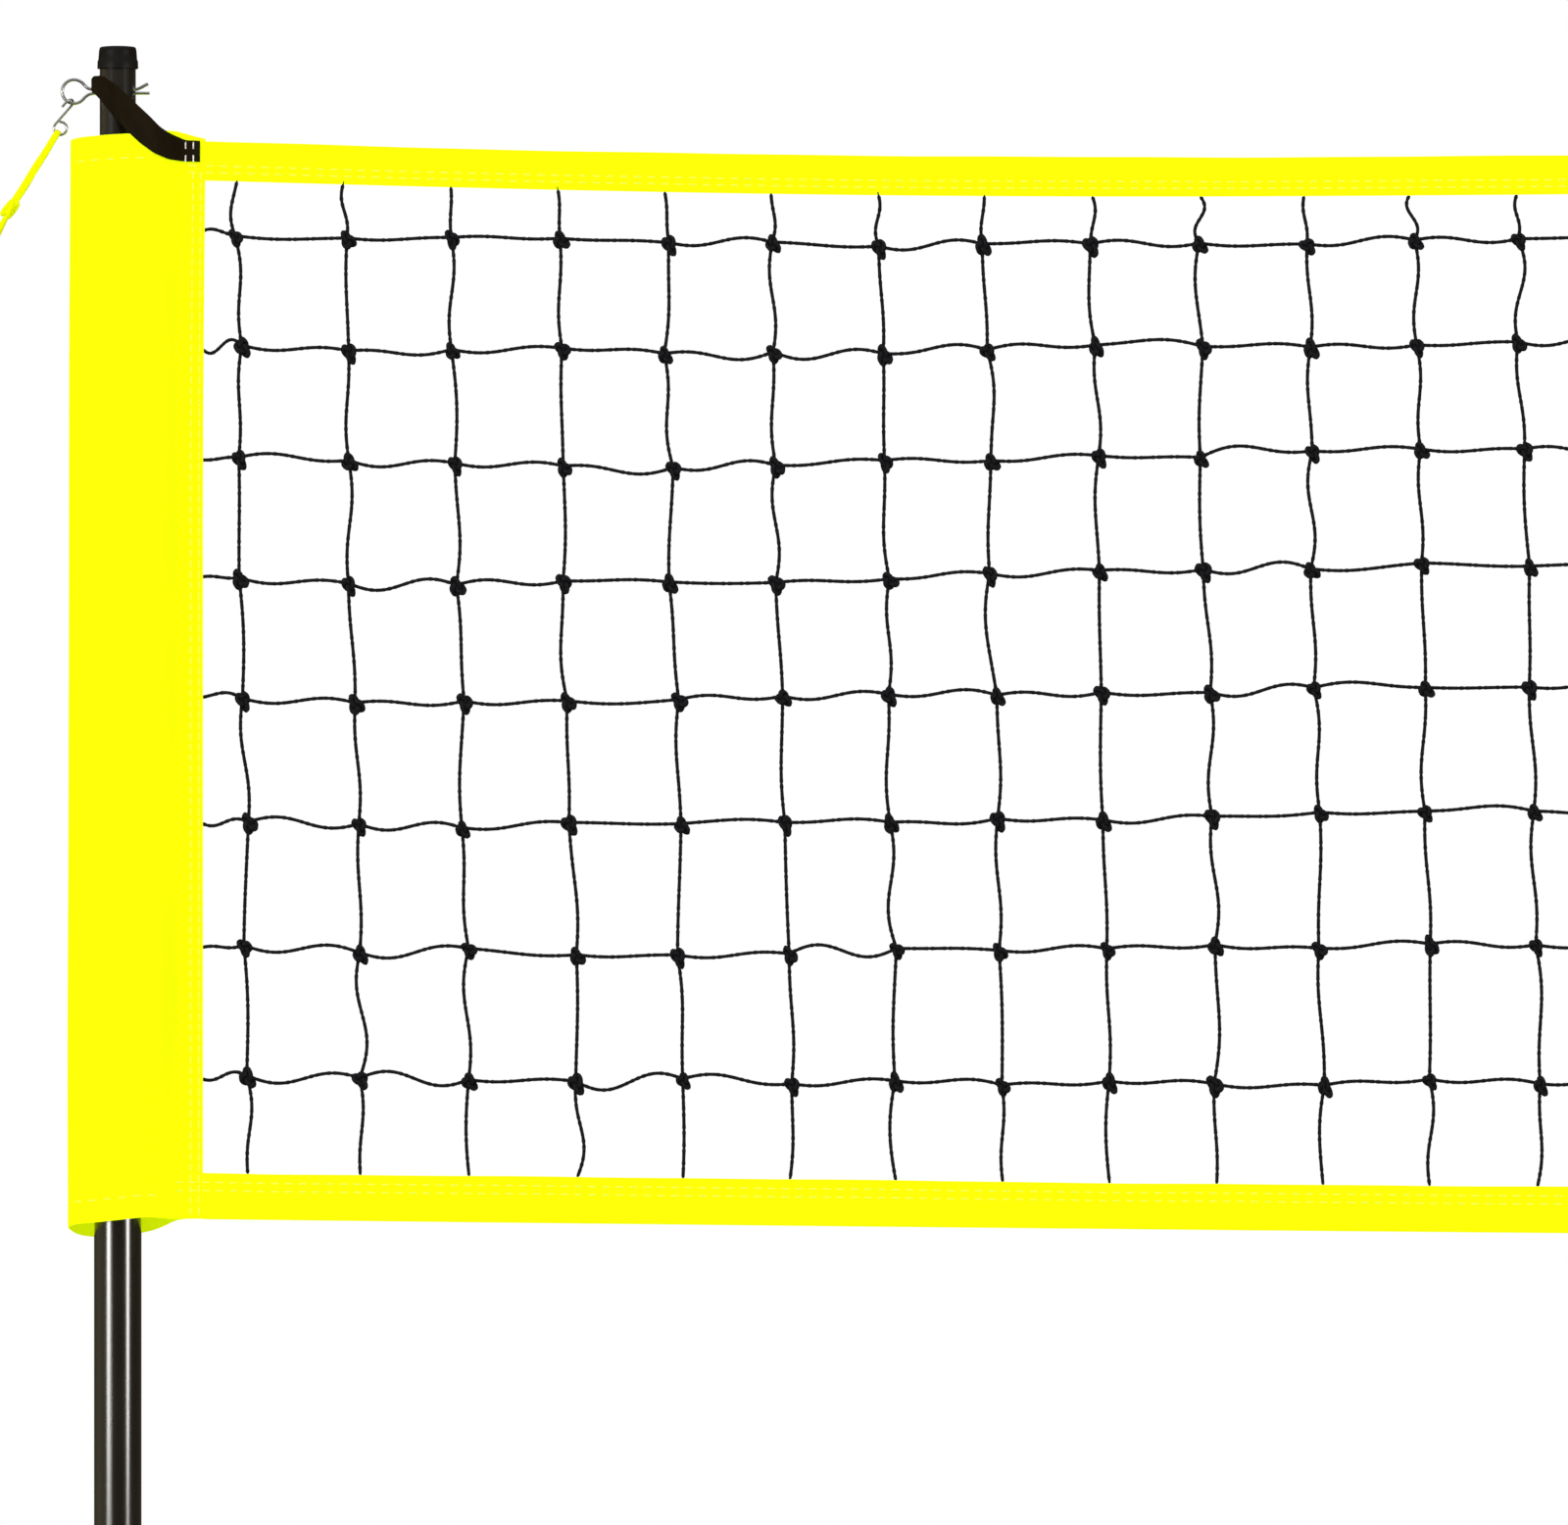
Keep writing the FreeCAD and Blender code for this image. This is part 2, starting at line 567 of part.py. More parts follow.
# Guy hook through the pin's eye, the flat loop in the hook's own eye, and the knot below it
hook_lean = math.radians(v.hook_tilt)
pull = Vector(-math.sin(hook_lean), 0, -math.cos(hook_lean))
aside = Vector(-0.62, -0.78, 0)
aside = (aside - pull * aside.dot(pull)).normalize()
bow_r = v.hook_bow / 2
eye_low = flat(eye_x - eye_r * math.sin(hook_lean / 2), pin_z - eye_r * math.cos(hook_lean / 2))
bow = eye_low + pull * (bow_r - v.hook_wire / 2 - v.pin_wire / 2 - 2 * v.run_gap)
shank_end = bow - aside * bow_r + pull * (v.hook_length - bow_r)
level = pull.cross(BACK)
ring_at = shank_end + level * (v.hook_eye / 2)
ring_end = math.radians(40)
hook_path = wire_of(
    Part.LineSegment(bow + aside * bow_r + pull * v.hook_tip, bow + aside * bow_r),
    Part.Arc(bow + aside * bow_r, bow - pull * bow_r, bow - aside * bow_r),
    Part.LineSegment(bow - aside * bow_r, shank_end),
    Part.Arc(
        shank_end,
        ring_at + (level + pull).normalize() * (v.hook_eye / 2),
        ring_at - (level * math.cos(ring_end) + pull * math.sin(ring_end)) * (v.hook_eye / 2),
    ),
)
keep("left_guy_hook", shaped("left_guy_hook", swept_round(hook_path, v.hook_wire)))

knot = flat(-v.knot_out, pin_z - v.knot_below)
fall = (knot - ring_at).normalize()
seat = ring_at + fall * (v.hook_eye / 2)
eye_rise = v.hook_eye / 2 - math.sqrt((v.hook_eye / 2) ** 2 - (v.band_width / 2) ** 2)
band_r = v.hook_wire / 2 + eye_rise + 2 * v.run_gap + v.band_leaf / 2
band_across = fall.cross(BACK).normalize()
band_top = seat + BACK * band_r
band_low = knot + BACK * band_r
band_path = wire_of(
    Part.LineSegment(knot - BACK * band_r, seat - BACK * band_r),
    Part.Arc(seat - BACK * band_r, seat - fall * band_r, band_top),
    Part.LineSegment(band_top, band_low),
)
knot_ball = Part.makeSphere(v.knot_thick / 2)
stretch = FreeCAD.Matrix()
stretch.scale(Vector(1, 1, v.knot_long / v.knot_thick))
knot_ball = knot_ball.transformGeometry(stretch)
knot_ball.Placement = Placement(knot, Rotation(UP, fall))
band = swept_band(band_path, v.band_leaf, v.band_width, band_across).cut(knot_ball)
keep("left_guy_loop", shaped("left_guy_loop", band))
keep("left_guy_knot", shaped("left_guy_knot", knot_ball))

# Peg in the ground, drawn upright about its eye's middle and then leaned away from the pole
peg_r = v.peg_eye / 2
bend_z = -math.sqrt((peg_r + v.peg_bend) ** 2 - v.peg_bend ** 2)
toward = Vector(v.peg_bend, 0, bend_z).normalize()
bend_mid = (Vector(-1, 0, 0) - toward).normalize() * v.peg_bend
end_angle = math.radians(228)
shaft_low = -(v.peg_length - peg_r - v.peg_wire / 2)
peg_path = wire_of(
    Part.LineSegment(flat(0, shaft_low), flat(0, bend_z)),
    Part.Arc(flat(0, bend_z), flat(v.peg_bend, bend_z) + bend_mid, toward * peg_r),
    Part.Arc(toward * peg_r, flat(0, peg_r), flat(peg_r * math.cos(end_angle), peg_r * math.sin(end_angle))),
)
peg_side = v.peg_wire / 2
chisel = [
    slab(
        [
            flat(way * peg_side * 0.1, shaft_low, -v.peg_wire),
            flat(way * peg_side, shaft_low + v.peg_point, -v.peg_wire),
            flat(way * v.peg_wire, shaft_low + v.peg_point, -v.peg_wire),
            flat(way * v.peg_wire, shaft_low, -v.peg_wire),
        ],
        BACK * (2 * v.peg_wire),
    )
    for way in (-1, 1)
]
peg = swept_round(peg_path, v.peg_wire).cut(chisel)
lean = math.radians(v.peg_angle)
lateral = v.guy_reach - v.knot_out
pegs = []
for side, pole_x in ((-1, 0), (1, v.pole_span)):
    for way in (-1, 1):
        outward = Vector(side * lateral, way * v.guy_side, 0).normalize()
        peg_up = outward * math.cos(lean) + UP * math.sin(lean)
        eye_at = Vector(pole_x + side * v.guy_reach, way * v.guy_side, v.peg_above * math.sin(lean))
        pegs.append(shaped("peg_%d" % len(pegs), peg))
        pegs[-1].Placement = Placement(eye_at, Rotation(UP.cross(outward), Vector(), peg_up, "ZXY"))
ground_pegs = doc.addObject("Part::Compound", "ground_pegs")
ground_pegs.Links = pegs
keep("ground_pegs", ground_pegs)

# Tensioner plate of the left front line: on the peg's eye at one end, the line in its other end
outward = Vector(-lateral, -v.guy_side, 0).normalize()
peg_up = outward * math.cos(lean) + UP * math.sin(lean)
eye_top = Vector(-v.guy_reach, -v.guy_side, v.peg_above * math.sin(lean)) + peg_up * peg_r
guy_up = (knot - eye_top).normalize()
hole_r = v.runner_hole / 2
plate_at = eye_top + guy_up * (hole_r - v.peg_wire / 2 - v.run_gap)
lobe_r = v.runner_lobe / 2
nose_r = v.runner_nose / 2
claw = v.runner_claw
plate = slab(
    [
        Vector(0, lobe_r, 0),
        Vector(v.runner_reach, nose_r, 0),
        Vector(v.runner_reach, -nose_r, 0),
        Vector(v.runner_reach * 0.86, -nose_r, 0),
        Vector(claw * 0.65, -claw, 0),
        Vector(claw * 0.3, -claw * 0.97, 0),
        Vector(claw * 0.2, -lobe_r, 0),
        Vector(0, -lobe_r, 0),
    ],
    UP * v.runner_thick,
)
tall = UP * v.runner_thick
plate = plate.fuse([
    Part.makeCylinder(lobe_r, v.runner_thick),
    Part.makeCylinder(nose_r, v.runner_thick, Vector(v.runner_reach, 0, 0)),
])
bite_at = Vector(claw * 0.12, -lobe_r - v.runner_bite * 0.34, 0)
plate = plate.cut([
    Part.makeCylinder(hole_r, v.runner_thick),
    Part.makeCylinder(v.runner_bite / 2, v.runner_thick, bite_at),
    Part.makeCylinder(v.runner_cord_hole / 2, v.runner_thick, Vector(v.runner_reach, 0, 0)),
    Part.makeCylinder(v.runner_cord_hole / 2, v.runner_thick, Vector(v.runner_reach * 0.42, lobe_r * 0.35, 0)),
]).removeSplitter()
plate.translate(tall * -0.5)
plate_face = outward.cross(UP)
plate_side = plate_face.cross(guy_up)
plate.Placement = Placement(plate_at, Rotation(guy_up, plate_side, plate_face, "XYZ")) * plate.Placement
front_tensioner = keep("left_front_tensioner", shaped("left_front_tensioner", plate))

# Guy line: pulled tight from the tensioner's nose to the knot, so one straight run
line_low = plate_at + guy_up * (v.runner_reach + nose_r)
line_high = knot - guy_up * (v.knot_long / 2 + v.fit_gap)
line_length = line_low.distanceToPoint(line_high)
front_line_cord = Part.makeCylinder(v.guy_cord / 2, line_length, line_low, guy_up)
front_guy = keep("left_front_guy_line", shaped("left_front_guy_line", front_line_cord))
keep("left_back_guy_line", mirrored("left_back_guy_line", front_guy, (0, 1, 0)))
keep("left_back_tensioner", mirrored("left_back_tensioner", front_tensioner, (0, 1, 0)))
print("guy line, from tensioner to knot: %.1f mm, straight, so it has no bend" % line_length)

# The right pole mirrors the left one about the net's middle
for name in [name for name in nodes if name.startswith("left_")]:
    twin = name.replace("left_", "right_", 1)
    keep(twin, mirrored(twin, nodes[name], (1, 0, 0), "pole_span / 2"))

# Netting and its tapes, all hanging in one shallow arc between the sleeves' fins
first_x = v.fin_end
last_x = v.pole_span - v.fin_end - v.run_gap
length = last_x - first_x


def hang(x, depth, y):
    """A point of the hung net, at a depth below its top edge."""
    share = (x - first_x) / length
    return Vector(x, y, v.net_top - depth - 4 * v.net_sag * share * (1 - share))


def hung_edge(depth, y):
    middle = (first_x + last_x) / 2
    return Part.Arc(hang(first_x, depth, y), hang(middle, depth, y), hang(last_x, depth, y)).toShape()


def hung_outline(top, bottom, y):
    sides = [
        Part.LineSegment(hang(x, top, y), hang(x, bottom, y)).toShape() for x in (first_x, last_x)
    ]
    return Part.Wire([hung_edge(top, y), sides[1], hung_edge(bottom, y), sides[0]])


tape_tops = (("top_tape", 0, v.top_tape_width), ("bottom_tape", v.net_height - v.bottom_tape_width, v.net_height))
for name, top, bottom in tape_tops:
    tape_face = Part.Face(hung_outline(top, bottom, -v.tape_thick / 2))
    keep(name, shaped(name, tape_face.extrude(BACK * v.tape_thick)))

net_high = v.top_tape_width
net_low = v.net_height - v.bottom_tape_width
across = int(length // (EVERY * v.mesh_wide))
spare = (length - across * EVERY * v.mesh_wide) / 2
columns = [first_x] + [first_x + spare + EVERY * v.mesh_wide * step for step in range(across + 1)] + [last_x]
down = int((net_low - v.first_knots - v.mesh_high / 2) // (EVERY * v.mesh_high))
rows = [net_high] + [v.first_knots + EVERY * v.mesh_high * step for step in range(down + 1)] + [net_low]
outer = hung_outline(net_high, net_low, -v.twine / 2)
gaps = []
for left, right in zip(columns, columns[1:]):
    for high, low_row in zip(rows, rows[1:]):
        inset = v.twine / 2
        left_in = left + (v.twine if left == first_x else inset)
        right_in = right - (v.twine if right == last_x else inset)
        top_in = high + (v.twine if high == net_high else inset)
        low_in = low_row - (v.twine if low_row == net_low else inset)
        corners = [
            hang(x, depth, -v.twine / 2)
            for x, depth in ((left_in, top_in), (right_in, top_in), (right_in, low_in), (left_in, low_in))
        ]
        gaps.append(Part.makePolygon(corners + corners[:1]))
net_face = Part.Face([outer] + gaps)
net_face.validate()
keep("net", shaped("net", net_face.extrude(BACK * v.twine)))
print("netting: %d gaps of %g by %g mm" % (len(gaps), EVERY * v.mesh_wide, EVERY * v.mesh_high))

# Every object must be sound before any file is written
doc.recompute()
for item in doc.Objects:
    if "Invalid" in item.State or "Error" in item.State:
        raise RuntimeError("%s did not compute: %s" % (item.Label, item.State))
for name, piece in nodes.items():
    if piece.Shape.isNull() or not piece.Shape.isValid() or not piece.Shape.Solids:
        raise RuntimeError("%s has no valid solid" % name)
os.makedirs("parts", exist_ok=True)
for name, piece in nodes.items():
    piece.Shape.exportStep(os.path.join("parts", name + ".step"))
    print("%-22s %d solid(s) %12.1f mm3" % (name, len(piece.Shape.Solids), piece.Shape.Volume))
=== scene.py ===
import math

import bmesh
import bpy
import numpy as np
from bpy.props import FloatProperty, FloatVectorProperty, IntProperty, PointerProperty
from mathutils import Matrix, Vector
from mathutils.geometry import tessellate_polygon


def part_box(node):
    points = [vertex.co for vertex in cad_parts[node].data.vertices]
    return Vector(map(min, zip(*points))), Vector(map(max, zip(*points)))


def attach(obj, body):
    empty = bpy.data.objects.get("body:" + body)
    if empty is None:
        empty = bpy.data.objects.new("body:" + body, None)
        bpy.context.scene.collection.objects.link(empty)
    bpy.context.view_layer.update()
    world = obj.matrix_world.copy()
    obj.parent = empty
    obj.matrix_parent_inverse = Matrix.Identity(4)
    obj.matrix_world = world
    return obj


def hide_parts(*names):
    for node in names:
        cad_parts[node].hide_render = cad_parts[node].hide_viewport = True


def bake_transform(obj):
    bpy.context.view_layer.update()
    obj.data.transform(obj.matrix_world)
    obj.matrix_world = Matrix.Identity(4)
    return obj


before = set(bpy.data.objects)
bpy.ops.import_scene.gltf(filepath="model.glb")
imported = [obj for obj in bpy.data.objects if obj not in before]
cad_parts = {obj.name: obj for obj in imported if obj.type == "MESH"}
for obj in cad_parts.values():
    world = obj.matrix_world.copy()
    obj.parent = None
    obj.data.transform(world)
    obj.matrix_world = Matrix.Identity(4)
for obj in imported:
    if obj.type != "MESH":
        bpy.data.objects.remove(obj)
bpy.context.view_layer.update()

bl_info = {
    "name": "Volleyball net on poles",
    "version": (1, 0, 0),
    "blender": (4, 5, 0),
    "location": "View3D > Sidebar > Net",
    "description": "Builds a volleyball net with its tapes, sleeves, poles, pegs and guy lines",
    "category": "Object",
}

SIDES = ("left", "right")
UP = np.array((0.0, 0.0, 1.0))
BACK = np.array((0.0, 1.0, 0.0))
TAU = 2 * math.pi

# Lengths that several pieces share
WELD = 1e-6  # points nearer than this are one
FIN_LIE = 0.00135  # middle of a fin's cloth, from the net's plane
SNUG = 0.0006  # gap between two pieces that rest on each other
PEG_EYE = 0.011  # radius of a peg's eye
PLATE_HOLE, PLATE_REACH = 0.008, 0.063  # a tensioner's peg hole, and from there to its cord hole
HOOK_BEND, HOOK_RING = 0.005, 0.006  # radii of a hook's bow and of its ring


def across(node, axis):
    """A CAD node's size along one axis."""
    low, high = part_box(node)
    return high[axis] - low[axis]


def low_end(node):
    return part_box(node)[0].z


def high_end(node):
    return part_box(node)[1].z


def middle(node):
    low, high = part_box(node)
    return np.array((low + high) / 2)


def size_property(name, description, default):
    return FloatProperty(name=name, description=description, default=default, min=0.0, unit="LENGTH", precision=4)


def colour_property(name, description, default):
    return FloatVectorProperty(
        name=name, description=description, default=default, subtype="COLOR", min=0, max=1, size=3)


class PoleSizes(bpy.types.PropertyGroup):
    """Sizes of the telescoping poles."""

    span: size_property("Span", "Between the axes of the two poles", middle("right_base_tube")[0])
    tube: size_property("Lower tubes", "Outside of the base and middle tubes", across("left_middle_tube", 0))
    mast: size_property("Top tube", "Outside of the top tube", 0.0335)
    wall: size_property("Wall", "Wall of every tube", 0.0012)
    joint: size_property("Joint", "Height of the joint between the lower tubes", low_end("left_middle_tube"))
    pin: size_property("Pin", "Height of the cross pin", middle("left_eye_pin")[2])
    hole: size_property("Pin hole", "Cross hole for the pin", 0.0075)
    grooves: IntProperty(name="Grooves", description="Finger grooves round the clamp collar", default=16, min=3)


class ClothSizes(bpy.types.PropertyGroup):
    """Sizes of the sleeves, tapes and straps."""

    cloth: size_property("Cloth", "Thickness of the sleeve's cloth", 0.0009)
    half: size_property("Half depth", "Front or back of the sleeve from the net's plane", 0.030)
    outer: size_property("Outer edge", "Outer edge of the sleeve from the pole axis", 0.0452)
    fin: size_property("Fin", "End of the flat fin from the pole axis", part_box("left_sleeve")[1].x)
    top: size_property("Top edge", "Height of the net's top edge at the pole", high_end("top_tape"))
    height: size_property("Net height", "Net with both tapes", 1.0)
    sag: size_property("Sag", "How far the net sags at its middle", 0.028)
    dip: size_property("Dip", "How far the top tape dips beside each pole", 0.0067)
    lean: size_property("Sleeve lean", "How far the strap draws the sleeve's top towards the net", 0.0025)
    top_tape: size_property("Top tape", "Width of the top tape", 0.0365)
    bottom_tape: size_property("Bottom tape", "Width of the bottom tape", 0.043)
    tape: size_property("Tape", "Thickness of a folded tape", 0.0024)
    stitch: size_property("Stitch", "Length of a stitch", 0.0068)
    stitch_pitch: size_property("Stitch pitch", "From one stitch to the next", 0.0128)
    webbing: size_property("Webbing", "Thickness of the strap's webbing", 0.0016)


class NettingSizes(bpy.types.PropertyGroup):
    """Sizes of the netting."""

    twine: size_property("Twine", "Thickness of the netting's twine", 0.0033)
    lay: size_property("Lay", "Length of one turn of the twine's strands", 0.0112)
    columns: IntProperty(name="Columns", description="Upright twines", default=96, min=2)
    rows: IntProperty(name="Rows", description="Level twines", default=8, min=2)
    first_column: size_property("First column", "First upright twine from the pole axis", 0.1117)
    first_row: size_property("First row", "First level twine below the top edge", 0.085)
    row_pitch: size_property("Row pitch", "From the first to the second level twine", 0.1025)
    row_growth: size_property("Row growth", "How much the rows' pitch grows", 0.00135)
    row_lift: size_property("Row lift", "How far the middle rows rise away from the poles", 0.026)
    drift: size_property("Drift", "How far the upright twines lean to the right", 0.0165)
    slack: size_property("Slack", "Wave of a twine between two knots", 0.0026)
    knot: size_property("Knot", "Half of a knot's width", 0.0086)
    pieces: IntProperty(name="Pieces", description="Stretches of netting, each a mesh of its own", default=8, min=1)


class HardwareSizes(bpy.types.PropertyGroup):
    """Sizes of the pins, hooks, guy lines, tensioners and pegs."""

    pin_wire: size_property("Pin wire", "Wire of the eye pin", 0.003)
    pin_eye: size_property("Pin eye", "Eye of the pin across its wire's middle", 0.0222)
    pin_out: size_property("Pin eye out", "Middle of the pin's eye from the pole axis", 0.0405)
    hook_wire: size_property("Hook wire", "Wire of the guy hook", 0.0024)
    guy_cord: size_property("Guy line", "Width of the guy line", 0.0045)
    peg_wire: size_property("Peg", "Round bar of a peg", 0.006)
    peg_length: size_property("Peg length", "Peg from its eye's top to its point", 0.207)
    peg_reach: size_property("Peg reach", "Peg's eye from the pole axis, along the net", 1.180)
    peg_side: size_property("Peg side", "Peg's eye from the net's plane", 1.125)
    peg_lean: FloatProperty(name="Peg lean", description="Peg from level", default=math.radians(65), subtype="ANGLE")
    plate: size_property("Tensioner", "Thickness of a tensioner plate", 0.006)


class Finishes(bpy.types.PropertyGroup):
    """Colours of the finishes."""

    neon: colour_property("Neon cloth", "Cloth of the sleeves and tapes", (0.72, 0.87, 0.002))
    neon_shade: colour_property("Neon cloth, darker", "Cloth where its dye took less", (0.66, 0.82, 0.002))
    thread: colour_property("Thread", "Stitches in the cloth", (0.86, 0.90, 0.16))
    strap_thread: colour_property("Strap thread", "Stitches in the strap", (0.93, 0.91, 0.86))
    paint: colour_property("Paint", "Gloss coat of the tubes", (0.0060, 0.0046, 0.0030))
    plastic: colour_property("Plastic", "Caps, collars and buttons", (0.0065, 0.0060, 0.0050))
    webbing: colour_property("Webbing", "Strap", (0.0165, 0.0112, 0.0055))
    twine: colour_property("Twine", "Netting", (0.0085, 0.0085, 0.0105))
    cord: colour_property("Cord", "Guy lines", (0.86, 0.92, 0.0))
    tensioner: colour_property("Tensioner", "Tensioner plates", (0.84, 0.90, 0.01))
    steel: colour_property("Steel", "Pins, hooks and pegs", (0.56, 0.58, 0.58))


class StageSettings(bpy.types.PropertyGroup):
    """Camera, lights and floor."""

    lens: FloatProperty(name="Lens", description="Focal length in millimetres", default=300, min=1)
    view_width: size_property("View width", "Width of the picture at the net's plane", 1.4545)
    centre_x: size_property("Picture centre", "Middle of the picture along the net", 0.6180)
    centre_z: size_property("Picture height", "Height of the picture's middle", 1.6637)
    backdrop: FloatProperty(name="Backdrop", description="Brightness of the backdrop", default=1.0, min=0)
    sky: FloatProperty(name="Sky", description="Brightness of the soft light all round", default=0.62, min=0)
    room: colour_property("Room", "What glossy pieces mirror in front and on the right", (0.080, 0.066, 0.044))
    room_left: colour_property("Room, left", "What glossy pieces mirror on the left", (0.34, 0.29, 0.18))
    room_top: colour_property("Room, top", "What glossy pieces mirror overhead", (0.9, 0.9, 0.9))


# Meshes
def welded(mesh, recalculate):
    """Joins the mesh's points that share a place, and turns its faces outward if that is asked for."""
    shape = bmesh.new()
    shape.from_mesh(mesh)
    bmesh.ops.remove_doubles(shape, verts=shape.verts, dist=WELD)
    if recalculate:
        bmesh.ops.recalc_face_normals(shape, faces=shape.faces)
    shape.to_mesh(mesh)
    shape.free()


def linked(name, data):
    """A new object in the scene."""
    made = bpy.data.objects.new(name, data)
    bpy.context.scene.collection.objects.link(made)
    return made


class Skin:
    """Points and faces gathered for one piece, each point with its place on the flat cloth or along the cord."""

    def __init__(self):
        self.points, self.flat, self.faces, self.count = [], [], {}, 0

    def add(self, points, *groups, flat=None):
        points = np.asarray(points, float).reshape(-1, 3)
        for group in groups:
            group = np.asarray(group, int)
            if group.size:
                self.faces.setdefault(group.shape[1], []).append(group + self.count)
        self.points.append(points)
        self.flat.append(points.copy() if flat is None else np.asarray(flat, float).reshape(-1, 3))
        self.count += len(points)
        return self

    def mirrored(self, plane):
        """The same skin on the other side of the plane at that x."""
        twin = Skin()
        twin.count = self.count
        twin.points = [points * (-1, 1, 1) + (2 * plane, 0, 0) for points in self.points]
        twin.flat = self.flat
        twin.faces = {size: [group[:, ::-1] for group in groups] for size, groups in self.faces.items()}
        return twin

    def flipped(self):
        """The same skin on the other side of the net's plane."""
        twin = self.mirrored(0)
        twin.points = [points * (1, -1, 1) for points in self.points]
        return twin

    def object(self, name, weld=False, crease=40):
        mesh = bpy.data.meshes.new(name)
        groups = [group for size in sorted(self.faces) for group in self.faces[size]]
        corners = np.concatenate([group.ravel() for group in groups]).astype(np.int32)
        sizes = np.concatenate([np.full(len(group), group.shape[1]) for group in groups])
        mesh.vertices.add(self.count)
        mesh.vertices.foreach_set("co", np.concatenate(self.points).ravel().astype(np.float32))
        mesh.loops.add(len(corners))
        mesh.loops.foreach_set("vertex_index", corners)
        mesh.polygons.add(len(sizes))
        mesh.polygons.foreach_set("loop_start", np.concatenate(([0], np.cumsum(sizes)[:-1])).astype(np.int32))
        flat = mesh.attributes.new("flat", "FLOAT_VECTOR", "POINT")
        flat.data.foreach_set("vector", np.concatenate(self.flat).ravel().astype(np.float32))
        mesh.update(calc_edges=True)
        mesh.validate()
        if weld:
            welded(mesh, recalculate=True)
        mesh.shade_smooth()
        mesh.set_sharp_from_angle(angle=math.radians(crease))
        return linked(name, mesh)


def grid_faces(rows, columns, wrap_rows=False, wrap_columns=False):
    """Four-sided faces of a grid of points, rows first."""
    index = np.arange(rows * columns).reshape(rows, columns)
    if wrap_rows:
        index = np.vstack((index, index[:1]))
    if wrap_columns:
        index = np.hstack((index, index[:, :1]))
    return np.stack((index[:-1, :-1], index[:-1, 1:], index[1:, 1:], index[1:, :-1]), -1).reshape(-1, 4)


def unit(vectors):
    vectors = np.asarray(vectors, float)
    return vectors / np.linalg.norm(vectors, axis=-1, keepdims=True)


def lengths_along(path):
    return np.concatenate(([0.0], np.cumsum(np.linalg.norm(np.diff(path, axis=0), axis=1))))


def softened(points, radius, steps=4, closed=False):
    """A route whose corners are rounded off by that radius, or by each corner's own."""
    points = np.asarray(points, float)
    count = len(points)
    radii = np.broadcast_to(radius, (count,))
    route = [] if closed else [points[:1]]
    for index in range(0 if closed else 1, count if closed else count - 1):
        before, here, after = points[index - 1], points[index], points[(index + 1) % count]
        reach = min(radii[index], 0.49 * np.linalg.norm(before - here), 0.49 * np.linalg.norm(after - here))
        start, end = here + unit(before - here) * reach, here + unit(after - here) * reach
        share = np.linspace(0, 1, steps + 1)[:, None]
        route.append((1 - share) ** 2 * start + 2 * share * (1 - share) * here + share ** 2 * end)
    if not closed:
        route.append(points[-1:])
    return np.concatenate(route)


def point_at(places, along, path):
    """The path's points at those lengths along it."""
    return np.array([np.interp(places, along, path[:, axis]) for axis in range(path.shape[1])]).T


def spaced(path, step):
    """The same path with points at even steps."""
    along = lengths_along(path)
    count = max(2, int(round(along[-1] / step)) + 1)
    return point_at(np.linspace(0, along[-1], count), along, path)


def round_section(radius, sides, flatten=1.0):
    angle = np.arange(sides) * TAU / sides
    return np.stack((np.cos(angle) * radius, np.sin(angle) * radius * flatten), 1)


def carried_frames(path, first, closed=False):
    """Side and upper directions carried along a path without twisting."""
    nearby = np.vstack((path[-1], path, path[0])) if closed else np.vstack((path[0], path, path[-1]))
    tangents = unit(nearby[2:] - nearby[:-2])
    side = np.cross(first, tangents[0])
    sides = []
    for tangent in tangents:
        side = unit(side - tangent * side.dot(tangent))
        sides.append(side)
    return np.array(sides), np.cross(tangents, sides)


def sweep(path, section, first=BACK, closed=False, turn=None, scale=None, carried=False):
    """Points, four-sided faces, end faces and flat places of a section taken along a path."""
    path = np.asarray(path, float)
    if carried or closed:
        side, upper = carried_frames(path, first, closed)
    else:
        tangents = unit(np.gradient(path, axis=0))
        side = unit(np.cross(first, tangents))
        upper = np.cross(tangents, side)
    rings, corners = len(path), len(section)
    turn = np.zeros(rings) if turn is None else np.asarray(turn)
    scale = np.ones((rings, 2)) if scale is None else np.asarray(scale)
    wide, tall = section[:, 0] * scale[:, :1], section[:, 1] * scale[:, 1:]
    u = wide * np.cos(turn)[:, None] - tall * np.sin(turn)[:, None]
    w = wide * np.sin(turn)[:, None] + tall * np.cos(turn)[:, None]
    points = path[:, None] + u[..., None] * side[:, None] + w[..., None] * upper[:, None]
    along = np.repeat(lengths_along(path)[:, None], corners, 1)
    around = np.repeat(np.concatenate(([0.0], lengths_along(section)[1:]))[None], rings, 0)
    flat = np.stack((along, around, np.zeros_like(along)), -1)
    faces = grid_faces(rings, corners, wrap_rows=closed, wrap_columns=True)
    ends = np.empty((0, corners), int)
    if not closed:
        first_ring = np.arange(corners)
        ends = np.stack((first_ring[::-1], (rings - 1) * corners + first_ring))
    return points.reshape(-1, 3), faces, ends, flat.reshape(-1, 3)


def tube(skin, path, section, **settings):
    points, faces, ends, flat = sweep(path, section, **settings)
    return skin.add(points, faces, ends, flat=flat)


